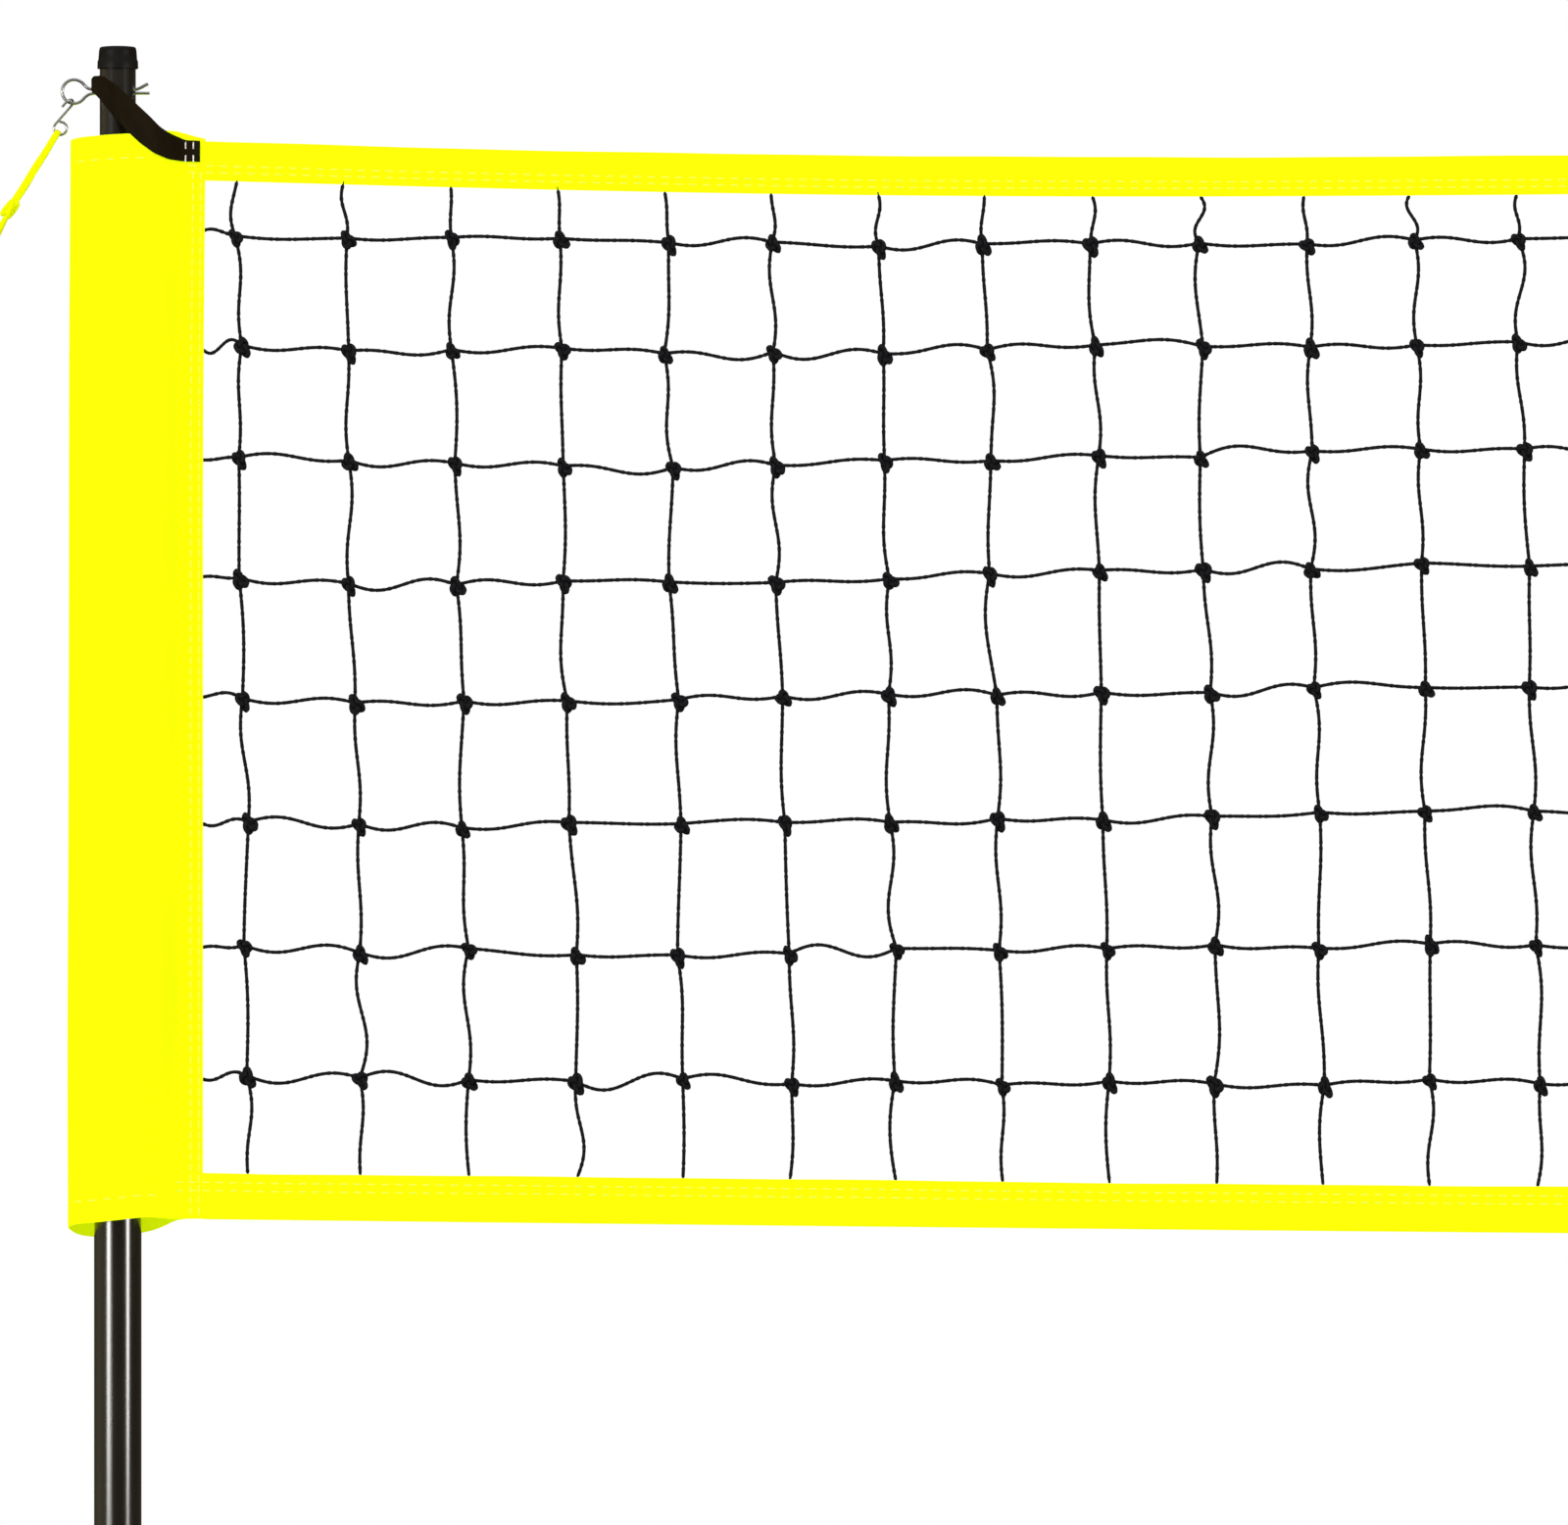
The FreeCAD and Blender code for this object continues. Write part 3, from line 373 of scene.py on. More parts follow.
def turned(skin, profile, segments=96, ripple=None):
    """A closed outline of (radius, height) turned about the left pole's axis; ripple changes the radius by angle."""
    profile = np.asarray(profile, float)
    angle = np.arange(segments) * TAU / segments
    radius = np.repeat(profile[:, :1], segments, 1)
    if ripple is not None:
        radius = ripple(radius, angle[None], profile[:, 1:])
    points = np.stack((radius * np.cos(angle), radius * np.sin(angle), np.repeat(profile[:, 1:], segments, 1)), -1)
    along = np.repeat(lengths_along(profile)[:, None], segments, 1)
    flat = np.stack((np.repeat(angle[None], len(profile), 0) * profile[:, :1].max(), along, np.zeros_like(along)), -1)
    return skin.add(points, grid_faces(len(profile), segments, wrap_rows=True, wrap_columns=True), flat=flat)


def dash(skin, centre, along, out, length, width=0.0009, height=0.0005):
    """One stitch: a short thread that rises from the cloth in the middle and dives into it at both ends."""
    along, out = unit(along), unit(out)
    wide = np.cross(out, along)
    places = np.linspace(-0.5, 0.5, 5)
    rise = np.array((-0.4, 0.75, 1.0, 0.75, -0.4)) * height
    path = np.asarray(centre) + places[:, None] * length * along + rise[:, None] * out
    ring = np.array(((0.5, 0.0), (0.0, 0.5), (-0.5, 0.0), (0.0, -0.5)))
    points = path[:, None] + ring[None, :, :1] * width * wide + ring[None, :, 1:] * width * out
    faces = grid_faces(5, 4, wrap_columns=True)
    skin.add(points, faces, [[3, 2, 1, 0], [16, 17, 18, 19]])


def stitched(skin, path, out, length, pitch, start=0.5):
    """A row of stitches along a path, on the side of the cloth that out points to."""
    along = lengths_along(path)
    outs = np.broadcast_to(out, path.shape)
    near = 0.001
    for place in np.arange(start * pitch, along[-1] - 0.4 * length, pitch):
        spots = np.array([point_at(spot, along, path) for spot in (place - near, place + near)])
        dash(skin, spots.mean(0), spots[1] - spots[0], point_at(place, along, outs), length)


def shell(outside, inside, flat, sides):
    """A cloth from its two faces, each a grid of points, closed along its border."""
    rows, columns = outside.shape[:2]
    faces = grid_faces(rows, columns)
    index = np.arange(rows * columns).reshape(rows, columns)
    border = np.concatenate((index[0, :-1], index[:-1, -1], index[-1, :0:-1], index[:0:-1, 0]))
    other = border + rows * columns
    rim = np.stack((other, np.roll(other, -1), np.roll(border, -1), border), 1)
    groups = [faces, faces[:, ::-1] + rows * columns, rim]
    if sides < 0:
        groups = [group[:, ::-1] for group in groups]
    points = np.concatenate([wall.reshape(-1, 3) for wall in (outside, inside)])
    return Skin().add(points, *groups, flat=np.concatenate([flat.reshape(-1, 3)] * 2))


def four_corners(skin):
    """Pole, side of the net and skin of the four like pieces round the net, made from the left front one."""
    span = bpy.context.scene.net_poles.span
    for way, both in (("front", skin), ("back", skin.flipped())):
        for pole, one in zip(SIDES, (both, both.mirrored(span / 2))):
            yield pole, way, one


def finish(made, look, body=None, stands_for=()):
    """Gives a piece its material, its body and the CAD nodes that it stands for."""
    made.data.materials.clear()
    made.data.materials.append(bpy.data.materials[look + "_finish"])
    if body:
        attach(made, body)
    if stands_for:
        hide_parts(*stands_for)
    return made


def pair(skin, name, look, body, node=None, slot=None, **settings):
    """The left piece and its mirrored twin at the right pole; the slot argument is not used."""
    plane = bpy.context.scene.net_poles.span / 2
    made = []
    for side, one in zip(SIDES, (skin, skin.mirrored(plane))):
        rides = body if body == "lower_poles" else "%s_%s" % (side, body)
        nodes = ["%s_%s" % (side, node)] if node else []
        made.append(finish(one.object("%s_%s" % (side, name), **settings), look, rides, nodes))
    return made


def drilled(made, start, end, radius):
    """Cuts a round hole through a piece."""
    cutter_skin = tube(Skin(), np.array((start, end)), round_section(radius, 32), first=UP)
    cutter = cutter_skin.object("cutter", weld=True)
    cut = made.modifiers.new("hole", "BOOLEAN")
    cut.object, cut.operation, cut.solver = cutter, "DIFFERENCE", "EXACT"
    shown = made.evaluated_get(bpy.context.evaluated_depsgraph_get())
    mesh = bpy.data.meshes.new_from_object(
        shown, preserve_all_data_layers=True, depsgraph=bpy.context.evaluated_depsgraph_get())
    made.modifiers.clear()
    made.data = mesh
    mesh.set_sharp_from_angle(angle=math.radians(40))
    bpy.data.objects.remove(cutter)


# Materials
def filled(tree, made, inputs):
    """Gives a shader node's inputs their links and plain values."""
    for key, value in inputs.items():
        if isinstance(value, bpy.types.NodeSocket):
            tree.links.new(value, made.inputs[key])
        else:
            made.inputs[key].default_value = value
    return made


def node(tree, kind, inputs=None, **settings):
    """A shader node with its settings, plain values and links."""
    made = tree.nodes.new(kind)
    for name, value in settings.items():
        setattr(made, name, value)
    return filled(tree, made, inputs or {})


def maths(tree, operation, *values):
    return node(tree, "ShaderNodeMath", dict(enumerate(values)), operation=operation).outputs[0]


def new_group(name, inputs, outputs):
    """An empty shader group with named sockets; a default that is a number or a colour says the kind."""
    tree = bpy.data.node_groups.new(name, "ShaderNodeTree")
    for way, sockets in (("INPUT", inputs), ("OUTPUT", outputs)):
        for label, default in sockets.items():
            kind = "NodeSocketFloat" if isinstance(default, (int, float)) else (
                "NodeSocketVector" if len(default) == 3 else "NodeSocketColor")
            socket = tree.interface.new_socket(label, in_out=way, socket_type=kind)
            if way == "INPUT":
                socket.default_value = default
    return tree, tree.nodes.new("NodeGroupInput"), tree.nodes.new("NodeGroupOutput")


def weave_group():
    """Plain weave of a cloth or webbing: the threads' height, and a patchy shade."""
    tree, given, put = new_group(
        "plain_weave", {"Place": (0.0, 0.0, 0.0), "Across": 900.0, "Along": 900.0, "Patch": 12.0},
        {"Height": 0.0, "Shade": 0.0})
    axes = node(tree, "ShaderNodeSeparateXYZ", {0: given.outputs["Place"]})
    waves = []
    for axis, pitch in (("X", "Across"), ("Y", "Along")):
        phase = maths(tree, "MULTIPLY", axes.outputs[axis], given.outputs[pitch])
        waves.append(maths(tree, "SINE", maths(tree, "MULTIPLY", phase, TAU)))
    crossing = maths(tree, "MULTIPLY", waves[0], waves[1])
    fuzz = node(tree, "ShaderNodeTexNoise", {"Vector": given.outputs["Place"], "Scale": 1400.0, "Detail": 2.0})
    height = maths(tree, "ADD", maths(tree, "MULTIPLY", crossing, 0.35), fuzz.outputs[0])
    patch = node(tree, "ShaderNodeTexNoise", {
        "Vector": given.outputs["Place"], "Scale": given.outputs["Patch"], "Detail": 4.0})
    shade = maths(tree, "ADD", maths(tree, "MULTIPLY", crossing, 0.12), patch.outputs[0])
    tree.links.new(height, put.inputs["Height"])
    tree.links.new(shade, put.inputs["Shade"])


def grain_group():
    """Fine grain and handling marks of a hard finish: its height, and a mask of rubbed patches."""
    tree, given, put = new_group(
        "handled_grain", {"Grain": 900.0, "Patch": 25.0, "Stretch": (1.0, 1.0, 1.0)}, {"Height": 0.0, "Rubbed": 0.0})
    place = node(tree, "ShaderNodeTexCoord").outputs["Object"]
    stretched = node(
        tree, "ShaderNodeVectorMath", {0: place, 1: given.outputs["Stretch"]}, operation="MULTIPLY").outputs[0]
    grain = node(tree, "ShaderNodeTexNoise", {"Vector": stretched, "Scale": given.outputs["Grain"], "Detail": 3.0})
    patch = node(tree, "ShaderNodeTexNoise", {"Vector": stretched, "Scale": given.outputs["Patch"], "Detail": 5.0})
    rubbed = remapped(tree, patch.outputs[0], from_low=0.42, from_high=0.68)
    tree.links.new(grain.outputs[0], put.inputs["Height"])
    tree.links.new(rubbed, put.inputs["Rubbed"])


def strands_group():
    """Strands laid round a cord: their height, and a mask of painted shade that darkens the grooves between them,
    mixed with random fibre tone.
    """
    tree, given, put = new_group(
        "laid_strands", {"Strands": 300.0, "Lean": 0.6, "Fibre": 2500.0}, {"Height": 0.0, "Shade": 0.0})
    place = node(tree, "ShaderNodeAttribute", attribute_type="GEOMETRY", attribute_name="flat")
    axes = node(tree, "ShaderNodeSeparateXYZ", {0: place.outputs["Vector"]})
    leaned = maths(tree, "MULTIPLY", axes.outputs["Y"], given.outputs["Lean"])
    phase = maths(tree, "MULTIPLY", maths(tree, "ADD", axes.outputs["X"], leaned), given.outputs["Strands"])
    wave = maths(tree, "ABSOLUTE", maths(tree, "SINE", maths(tree, "MULTIPLY", phase, math.pi)))
    where = node(tree, "ShaderNodeTexCoord").outputs["Object"]
    fibre = node(tree, "ShaderNodeTexNoise", {"Vector": where, "Scale": given.outputs["Fibre"], "Detail": 2.0})
    for label, wave_share, fibre_share in (("Height", 1.0, 0.4), ("Shade", 0.7, 0.3)):
        parts = maths(tree, "MULTIPLY", wave, wave_share), maths(tree, "MULTIPLY", fibre.outputs[0], fibre_share)
        tree.links.new(maths(tree, "ADD", *parts), put.inputs[label])


def effect(tree, group, inputs):
    """One of the shared effects, placed in a material."""
    return filled(tree, node(tree, "ShaderNodeGroup", node_tree=bpy.data.node_groups[group]), inputs)


def blank_material(name):
    material = bpy.data.materials.new(name + "_finish")
    material.use_nodes = True
    tree = material.node_tree
    tree.nodes.clear()
    shader = node(tree, "ShaderNodeBsdfPrincipled")
    out = node(tree, "ShaderNodeOutputMaterial")
    tree.links.new(shader.outputs[0], out.inputs["Surface"])
    return material, tree, shader


def blended(tree, share, first, second):
    """A colour between two, by a mask."""
    ends = [end if isinstance(end, bpy.types.NodeSocket) else (*end, 1.0) for end in (first, second)]
    mix = node(tree, "ShaderNodeMix", {"Factor": share, "A": ends[0], "B": ends[1]}, data_type="RGBA")
    return mix.outputs["Result"]


def remapped(tree, value, **ends):
    """A value carried over from one range to another; lows and highs by the names of the node's ends."""
    places = {"from_low": 1, "from_high": 2, "to_low": 3, "to_high": 4}
    return node(tree, "ShaderNodeMapRange", {0: value, **{places[name]: end for name, end in ends.items()}}).outputs[0]


def bump(tree, shader, height, strength, distance):
    raised = node(tree, "ShaderNodeBump", {"Height": height, "Strength": strength, "Distance": distance})
    tree.links.new(raised.outputs[0], shader.inputs["Normal"])


def cloth_material(name, colour, shade, across_pitch, along_pitch, patch, roughness, relief, painted_glow=0.0):
    """Woven cloth or webbing, its weave following the flat cloth, with a painted glow of its own colour where one is
    given.
    """
    tree, shader = blank_material(name)[1:]
    place = node(tree, "ShaderNodeAttribute", attribute_type="GEOMETRY", attribute_name="flat").outputs["Vector"]
    weave = effect(tree, "plain_weave", {"Place": place, "Across": across_pitch, "Along": along_pitch, "Patch": patch})
    dyed = blended(tree, remapped(tree, weave.outputs["Shade"], from_low=0.35, from_high=0.70), shade, colour)
    tree.links.new(dyed, shader.inputs["Base Color"])
    rough = remapped(tree, weave.outputs["Height"], to_low=roughness, to_high=roughness + 0.1)
    tree.links.new(rough, shader.inputs["Roughness"])
    shader.inputs["Specular IOR Level"].default_value = 0.0
    # Painted glow: the cloth emits its dyed colour, which brightens it where it lies in shade
    if painted_glow:
        tree.links.new(dyed, shader.inputs["Emission Color"])
        shader.inputs["Emission Strength"].default_value = painted_glow
    bump(tree, shader, weave.outputs["Height"], 0.5, relief)


def hard_material(name, colour, worn, roughness, worn_roughness, grain, relief, stretch=(1, 1, 1), metal=0.0, coat=0.0,
                  specular=0.5):
    """Paint, plastic or metal with its own grain and rubbed patches."""
    tree, shader = blank_material(name)[1:]
    marks = effect(tree, "handled_grain", {"Grain": grain, "Patch": 30.0, "Stretch": stretch})
    tree.links.new(blended(tree, marks.outputs["Rubbed"], colour, worn), shader.inputs["Base Color"])
    rough = remapped(tree, marks.outputs["Rubbed"], to_low=roughness, to_high=worn_roughness)
    tree.links.new(rough, shader.inputs["Roughness"])
    shader.inputs["Metallic"].default_value = metal
    shader.inputs["Coat Weight"].default_value = coat
    shader.inputs["Coat Roughness"].default_value = 0.22
    shader.inputs["Specular IOR Level"].default_value = specular
    bump(tree, shader, marks.outputs["Height"], 0.25, relief)


def cord_material(name, colour, groove, strands, lean, roughness, relief, specular):
    """Laid or braided cord, its colour darkened by painted shade in the grooves between the strands."""
    tree, shader = blank_material(name)[1:]
    laid = effect(tree, "laid_strands", {"Strands": strands, "Lean": lean})
    # Painted shade: the colour falls to the darker groove colour between the strands
    share = remapped(tree, laid.outputs["Shade"], from_low=0.1, from_high=0.7)
    tree.links.new(blended(tree, share, groove, colour), shader.inputs["Base Color"])
    rough = remapped(tree, laid.outputs["Height"], to_low=roughness + 0.1, to_high=roughness)
    tree.links.new(rough, shader.inputs["Roughness"])
    shader.inputs["Specular IOR Level"].default_value = specular
    bump(tree, shader, laid.outputs["Height"], 0.6, relief)


def scaled(colour, share):
    return tuple(channel * share for channel in colour)


def make_materials():
    """Every finish of the set, by name."""
    weave_group()
    grain_group()
    strands_group()
    c = bpy.context.scene.net_finishes
    # The neon cloth gets a painted glow that brightens its shaded inside
    cloth_material("neon_cloth", tuple(c.neon), tuple(c.neon_shade), across_pitch=900, along_pitch=900, patch=9,
                   roughness=0.85, relief=0.00012, painted_glow=0.50)
    cloth_material("black_webbing", tuple(c.webbing), scaled(c.webbing, 0.6), across_pitch=240, along_pitch=700,
                   patch=30, roughness=0.7, relief=0.0003)
    # groove: share of the colour kept in the painted shade between the strands
    for name, colour, groove, strands, lean, roughness, relief, specular in (
        ("cloth_thread", c.thread, 0.8, 900, 0.4, 0.7, 0.00008, 0.02),
        ("strap_thread", c.strap_thread, 0.8, 900, 0.4, 0.7, 0.00008, 0.02),
        ("dark_twine", c.twine, 0.45, 210, 1.1, 0.62, 0.0003, 0.08),
        ("yellow_cord", c.cord, 0.82, 380, 0.9, 0.7, 0.0003, 0.02),
    ):
        cord_material(name, tuple(colour), scaled(colour, groove), strands, lean, roughness, relief, specular)
    for name, colour, clean, worn, roughness, worn_roughness, grain, relief, more in (
        ("black_paint", c.paint, 1, 1.5, 0.20, 0.26, 700, 0.00002, {"stretch": (1, 1, 0.2), "coat": 1.0}),
        ("black_plastic", c.plastic, 1, 1.6, 0.42, 0.55, 1600, 0.0001, {"specular": 0.12}),
        ("black_rubber", c.plastic, 0.9, 1.4, 0.6, 0.75, 900, 0.00015, {"specular": 0.2}),
        ("yellow_plastic", c.tensioner, 1, 0.92, 0.38, 0.5, 1200, 0.00006, {"specular": 0.3}),
        ("zinc", c.steel, 1, 0.72, 0.28, 0.46, 800, 0.00005, {"metal": 1.0}),
        ("spring_steel", c.steel, 0.7, 0.5, 0.3, 0.4, 900, 0.00004, {"metal": 1.0}),
    ):
        shades = scaled(colour, clean), scaled(colour, worn)
        hard_material(name, *shades, roughness, worn_roughness, grain, relief, **more)


# Camera, lights and floor
def add_light(name, place, toward, size, power, glossy, diffuse):
    data = bpy.data.lights.new(name, "AREA")
    data.shape, data.size, data.size_y, data.energy = "RECTANGLE", size[0], size[1], power
    data.color = (1.0, 0.98, 0.93) if glossy else (1.0, 1.0, 1.0)
    lamp = linked(name, data)
    lamp.location = place
    lamp.rotation_euler = (Vector(toward) - Vector(place)).to_track_quat("-Z", "Y").to_euler()
    lamp.visible_glossy, lamp.visible_diffuse, lamp.visible_camera = glossy, diffuse, False


def build_stage():
    scene, stage = bpy.context.scene, bpy.context.scene.net_stage
    data = bpy.data.cameras.new("photo_camera")
    data.lens, data.sensor_width, data.clip_end = stage.lens, 36, 400
    camera = linked("photo_camera", data)
    distance = stage.lens / data.sensor_width * stage.view_width
    camera.location = (stage.centre_x, -distance, stage.centre_z)
    camera.rotation_euler = (math.pi / 2, 0, 0)
    scene.camera = camera
    scene.view_settings.view_transform = "Standard"

    world = bpy.data.worlds.new("studio")
    world.use_nodes = True
    tree = world.node_tree
    tree.nodes.clear()
    ray = node(tree, "ShaderNodeLightPath")
    toward = node(tree, "ShaderNodeSeparateXYZ", {0: node(tree, "ShaderNodeTexCoord").outputs["Generated"]})
    left = remapped(tree, toward.outputs["X"], from_low=-0.75, from_high=-0.98)
    top = remapped(tree, toward.outputs["Z"], from_low=0.35, from_high=0.8)
    mirrored = blended(tree, left, stage.room, stage.room_left)
    mirrored = blended(tree, top, mirrored, stage.room_top)
    soft = blended(tree, ray.outputs["Is Glossy Ray"], [stage.sky] * 3, mirrored)
    seen = blended(tree, ray.outputs["Is Camera Ray"], soft, [stage.backdrop] * 3)
    shown = node(tree, "ShaderNodeBackground", {"Color": seen})
    out = node(tree, "ShaderNodeOutputWorld")
    tree.links.new(shown.outputs[0], out.inputs["Surface"])
    scene.world = world

    plane = scene.net_poles.span / 2
    add_light("soft_key", (plane - 6, -9, 8), (plane, 0, 1.4), (12, 6), 900, glossy=False, diffuse=True)
    spread, height, tall = 16.0, 1.6, 5
    for name, angle, width, power in (("strip_left", -42.0, 0.30, 84), ("strip_right", 53.0, 0.22, 66)):
        turn = math.radians(angle)
        place = (math.sin(turn) * spread, -math.cos(turn) * spread, height)
        add_light(name, place, (0, 0, height), (width * spread, tall), power * spread, glossy=True, diffuse=False)

    low, high, under = (-14.0, -14.0), (24.0, 14.0), -0.0005
    edges = [(low[0], low[1], under), (high[0], low[1], under), (high[0], high[1], under), (low[0], high[1], under)]
    floor = Skin().add(edges, [[0, 1, 2, 3]]).object("floor")
    material, tree, shader = blank_material("pale_floor")
    marks = effect(tree, "handled_grain", {"Grain": 60.0, "Patch": 0.7})
    pale = blended(tree, marks.outputs["Rubbed"], (0.80, 0.80, 0.79), (0.77, 0.77, 0.76))
    tree.links.new(pale, shader.inputs["Base Color"])
    shader.inputs["Roughness"].default_value = 0.9
    shader.inputs["Specular IOR Level"].default_value = 0.0
    floor.data.materials.append(material)
    floor.visible_glossy = False


# Places shared by the guy line's pieces
def peg_frame():
    """Eye, outward and upward directions of the left front peg."""
    h = bpy.context.scene.net_hardware
    knot = middle("left_guy_knot")
    outward = unit(np.array((-(h.peg_reach - abs(knot[0])), -h.peg_side, 0.0)))
    upward = outward * math.cos(h.peg_lean) + UP * math.sin(h.peg_lean)
    above = 0.033
    eye = np.array((-h.peg_reach, -h.peg_side, above * math.sin(h.peg_lean)))
    return eye, outward, upward


def plate_frame():
    """Hole, pull, side and face directions of the left front tensioner."""
    eye, outward, upward = peg_frame()
    knot = middle("left_guy_knot")
    eye_top = eye + upward * PEG_EYE
    pull = unit(knot - eye_top)
    face = unit(np.cross(outward, UP))
    side = unit(np.cross(face, pull))
    face = np.cross(pull, side)
    bar, gap = 0.003, 0.0003
    return eye_top + pull * (PLATE_HOLE - bar - gap), pull, side, face


def spline_points(name, points):
    """A smooth curve through its control points, and the points that Blender reads from it."""
    data = bpy.data.curves.new(name, "CURVE")
    data.dimensions = "3D"
    data.resolution_u = 64
    spline = data.splines.new("NURBS")
    spline.points.add(len(points) - 1)
    for place, point in zip(spline.points, points):
        place.co = (*point, 1.0)
    spline.order_u = 3
    spline.use_endpoint_u = True
    curve = linked(name, data)
    bpy.context.view_layer.update()
    read = bpy.data.meshes.new_from_object(curve.evaluated_get(bpy.context.evaluated_depsgraph_get()))
    route = np.array([vertex.co for vertex in read.vertices], float)
    bpy.data.meshes.remove(read)
    bpy.data.objects.remove(curve)
    return route


def build_guy_lines():
    """Four flat-braided lines, each from its tensioner up to the knot below the hook."""
    h, span = bpy.context.scene.net_hardware, bpy.context.scene.net_poles.span
    hole, pull = plate_frame()[:2]
    knot = middle("left_guy_knot")
    start = hole + pull * (PLATE_REACH + 0.0075)
    end = knot - pull * 0.0085
    sag, step, flatten, strands, sides = 0.012, 0.004, 0.62, 4, 12
    route = spline_points("guy_route", [start, (start + end) / 2 - UP * sag, end])
    route = spaced(route, step)
    angle = np.arange(sides) * TAU / sides
    section = round_section(h.guy_cord / 2, sides, flatten) * (1 + 0.06 * np.cos(strands * angle))[:, None]
    along = lengths_along(route)
    turn = 0.5 * np.sin(along * 2.3) + 0.2 * np.sin(along * 7.1)
    ripple = 1 + 0.045 * np.sin(along * TAU / 0.009)
    skin = tube(Skin(), route, section, first=BACK, turn=turn, scale=np.stack((ripple, 2 - ripple), 1))
    for pole, way, one in four_corners(skin):
        made = one.object("%s_%s_line" % (pole, way))
        finish(made, "yellow_cord", stands_for=["%s_%s_guy_line" % (pole, way)])
        flip = np.array((1, 1 if way == "front" else -1, 1))
        path, leave, seat = route * flip, end * flip, start * flip
        if pole == "right":
            path, leave, seat = (np.array((span, 0, 0)) + p * (-1, 1, 1) for p in (path, leave, seat))
        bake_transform(made)


def build_poles():
    """Foot caps, base tubes, middle tubes, top tubes and top caps of both poles."""
    p = bpy.context.scene.net_poles
    outer, inner = p.tube / 2, p.tube / 2 - p.wall
    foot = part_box("left_foot_cap")[1].x
    foot_top = high_end("left_foot_cap")
    ribs = 24

    def treaded(radius, angle, height):
        """Shallow grip ribs round the foot."""
        on_side = (radius > foot - 0.0002) & (height > 0.006) & (height < foot_top - 0.009)
        return radius - on_side * 0.0006 * (0.5 - 0.5 * np.cos(angle * ribs)) ** 2

    cap = softened([
        (0.0004, 0), (foot - 0.004, 0), (foot - 0.002, 0), (foot, 0.002), (foot, 0.0065), (foot, foot_top - 0.0095),
        (foot, foot_top), (outer + 0.0001, foot_top), (outer + 0.0001, 0.005), (0.0004, 0.005),
    ], 0.0012, 3, closed=True)
    pair(turned(Skin(), cap, segments=192, ripple=treaded), "rubber_foot", "black_rubber",
         "lower_poles", "foot_cap", weld=True)

    spigot, joint, tip = inner - 0.0001, p.joint, high_end("left_base_tube")
    base = softened([
        (inner, 0.005), (outer, 0.005), (outer, joint - 0.0004), (spigot, joint - 0.0002), (spigot, tip - 0.004),
        (spigot - 0.001, tip), (spigot - p.wall, tip), (spigot - p.wall, joint - 0.008), (inner, joint - 0.012),
    ], 0.0004, 3, closed=True)
    middle_top = high_end("left_middle_tube")
    middle_tube = softened([
        (inner, joint), (outer - 0.0008, joint), (outer, joint + 0.0009), (outer, middle_top), (inner, middle_top),
    ], 0.0004, 3, closed=True)
    mast, mast_low, mast_high = p.mast / 2, low_end("left_top_tube"), high_end("left_top_tube")
    top = softened([
        (mast - p.wall, mast_low), (mast, mast_low), (mast, mast_high), (mast - p.wall, mast_high),
    ], 0.0003, 2, closed=True)
    button = middle("left_section_button")
    lower = pair(turned(Skin(), base), "base_pole", "black_paint", "lower_poles", "base_tube")
    lower += pair(turned(Skin(), middle_tube), "middle_pole", "black_paint", "lower_poles", "middle_tube")
    for made in lower:
        x = 0 if made.name.startswith("left") else p.span
        drilled(made, (x, 0, button[2]), (x, -0.04, button[2]), 0.0043)
    for made in pair(turned(Skin(), top), "top_pole", "black_paint", "mast", "top_tube"):
        x = 0 if made.name.startswith("left") else p.span
        drilled(made, (x - 0.04, 0, p.pin), (x + 0.04, 0, p.pin), p.hole / 2)

    rim, crown, skirt = across("left_top_cap", 0) / 2, high_end("left_top_cap") - 0.0008, low_end("left_top_cap")
    edge = mast_high + 0.0004
    cap = np.vstack((
        softened([
            (mast + 0.0001, mast_high), (mast + 0.0001, skirt), (rim, skirt), (rim - 0.0002, skirt + 0.0068),
        ], 0.0007, 4),
        softened([(rim - 0.0010, skirt + 0.0088), (rim - 0.0016, edge - 0.0012), (rim - 0.0025, crown - 0.0009),
                  (rim * 0.55, crown - 0.0002), (0.0003, crown)], 0.0016, 5),
        [(0.0003, mast_high)],
    ))
    pair(turned(Skin(), cap), "end_cap", "black_plastic", "mast", "top_cap", weld=True)
    for pole in SIDES:
        finish(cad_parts[pole + "_guide_bush"], "black_plastic")


def build_clamps():
    """Grooved clamp collars, over the slit collets in the middle tubes' ends."""
    p = bpy.context.scene.net_poles
    low, high = low_end("left_clamp_collar"), high_end("left_clamp_collar")
    rim = 0.027
    bore, neck = p.mast / 2 + 0.0003, 0.0193
    groove = 0.0022

    def grooved(radius, angle, height):
        """Finger grooves that run out before the collar's ends."""
        off = (angle + math.pi / p.grooves) % (TAU / p.grooves) - math.pi / p.grooves
        depth = np.sqrt(np.clip(1 - (off * rim / (groove * 1.15)) ** 2, 0, 1)) * groove
        run = np.clip((height - low - 0.0025) / 0.003, 0, 1) * np.clip((high - 0.0035 - height) / 0.003, 0, 1)
        return radius - np.where(radius > rim - 0.0035, depth * run, 0)

    side = [(rim, low + share * (high - low)) for share in np.linspace(0.08, 0.92, 12)]
    outline = np.vstack((
        softened([(neck, low), (rim - 0.001, low), (rim - 0.0002, low + 0.0012)], 0.0008, 3), side,
        softened([
            (rim - 0.0002, high - 0.0018), (rim - 0.0022, high), (bore, high), (bore, high - 0.005),
            (neck, high - 0.005),
        ], 0.0012, 3),
    ))
    pair(turned(Skin(), outline, segments=p.grooves * 14, ripple=grooved), "grooved_collar",
         "black_plastic", "collar", "clamp_collar", crease=50)
    for pole in SIDES:
        finish(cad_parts[pole + "_clamp_collet"], "black_plastic")


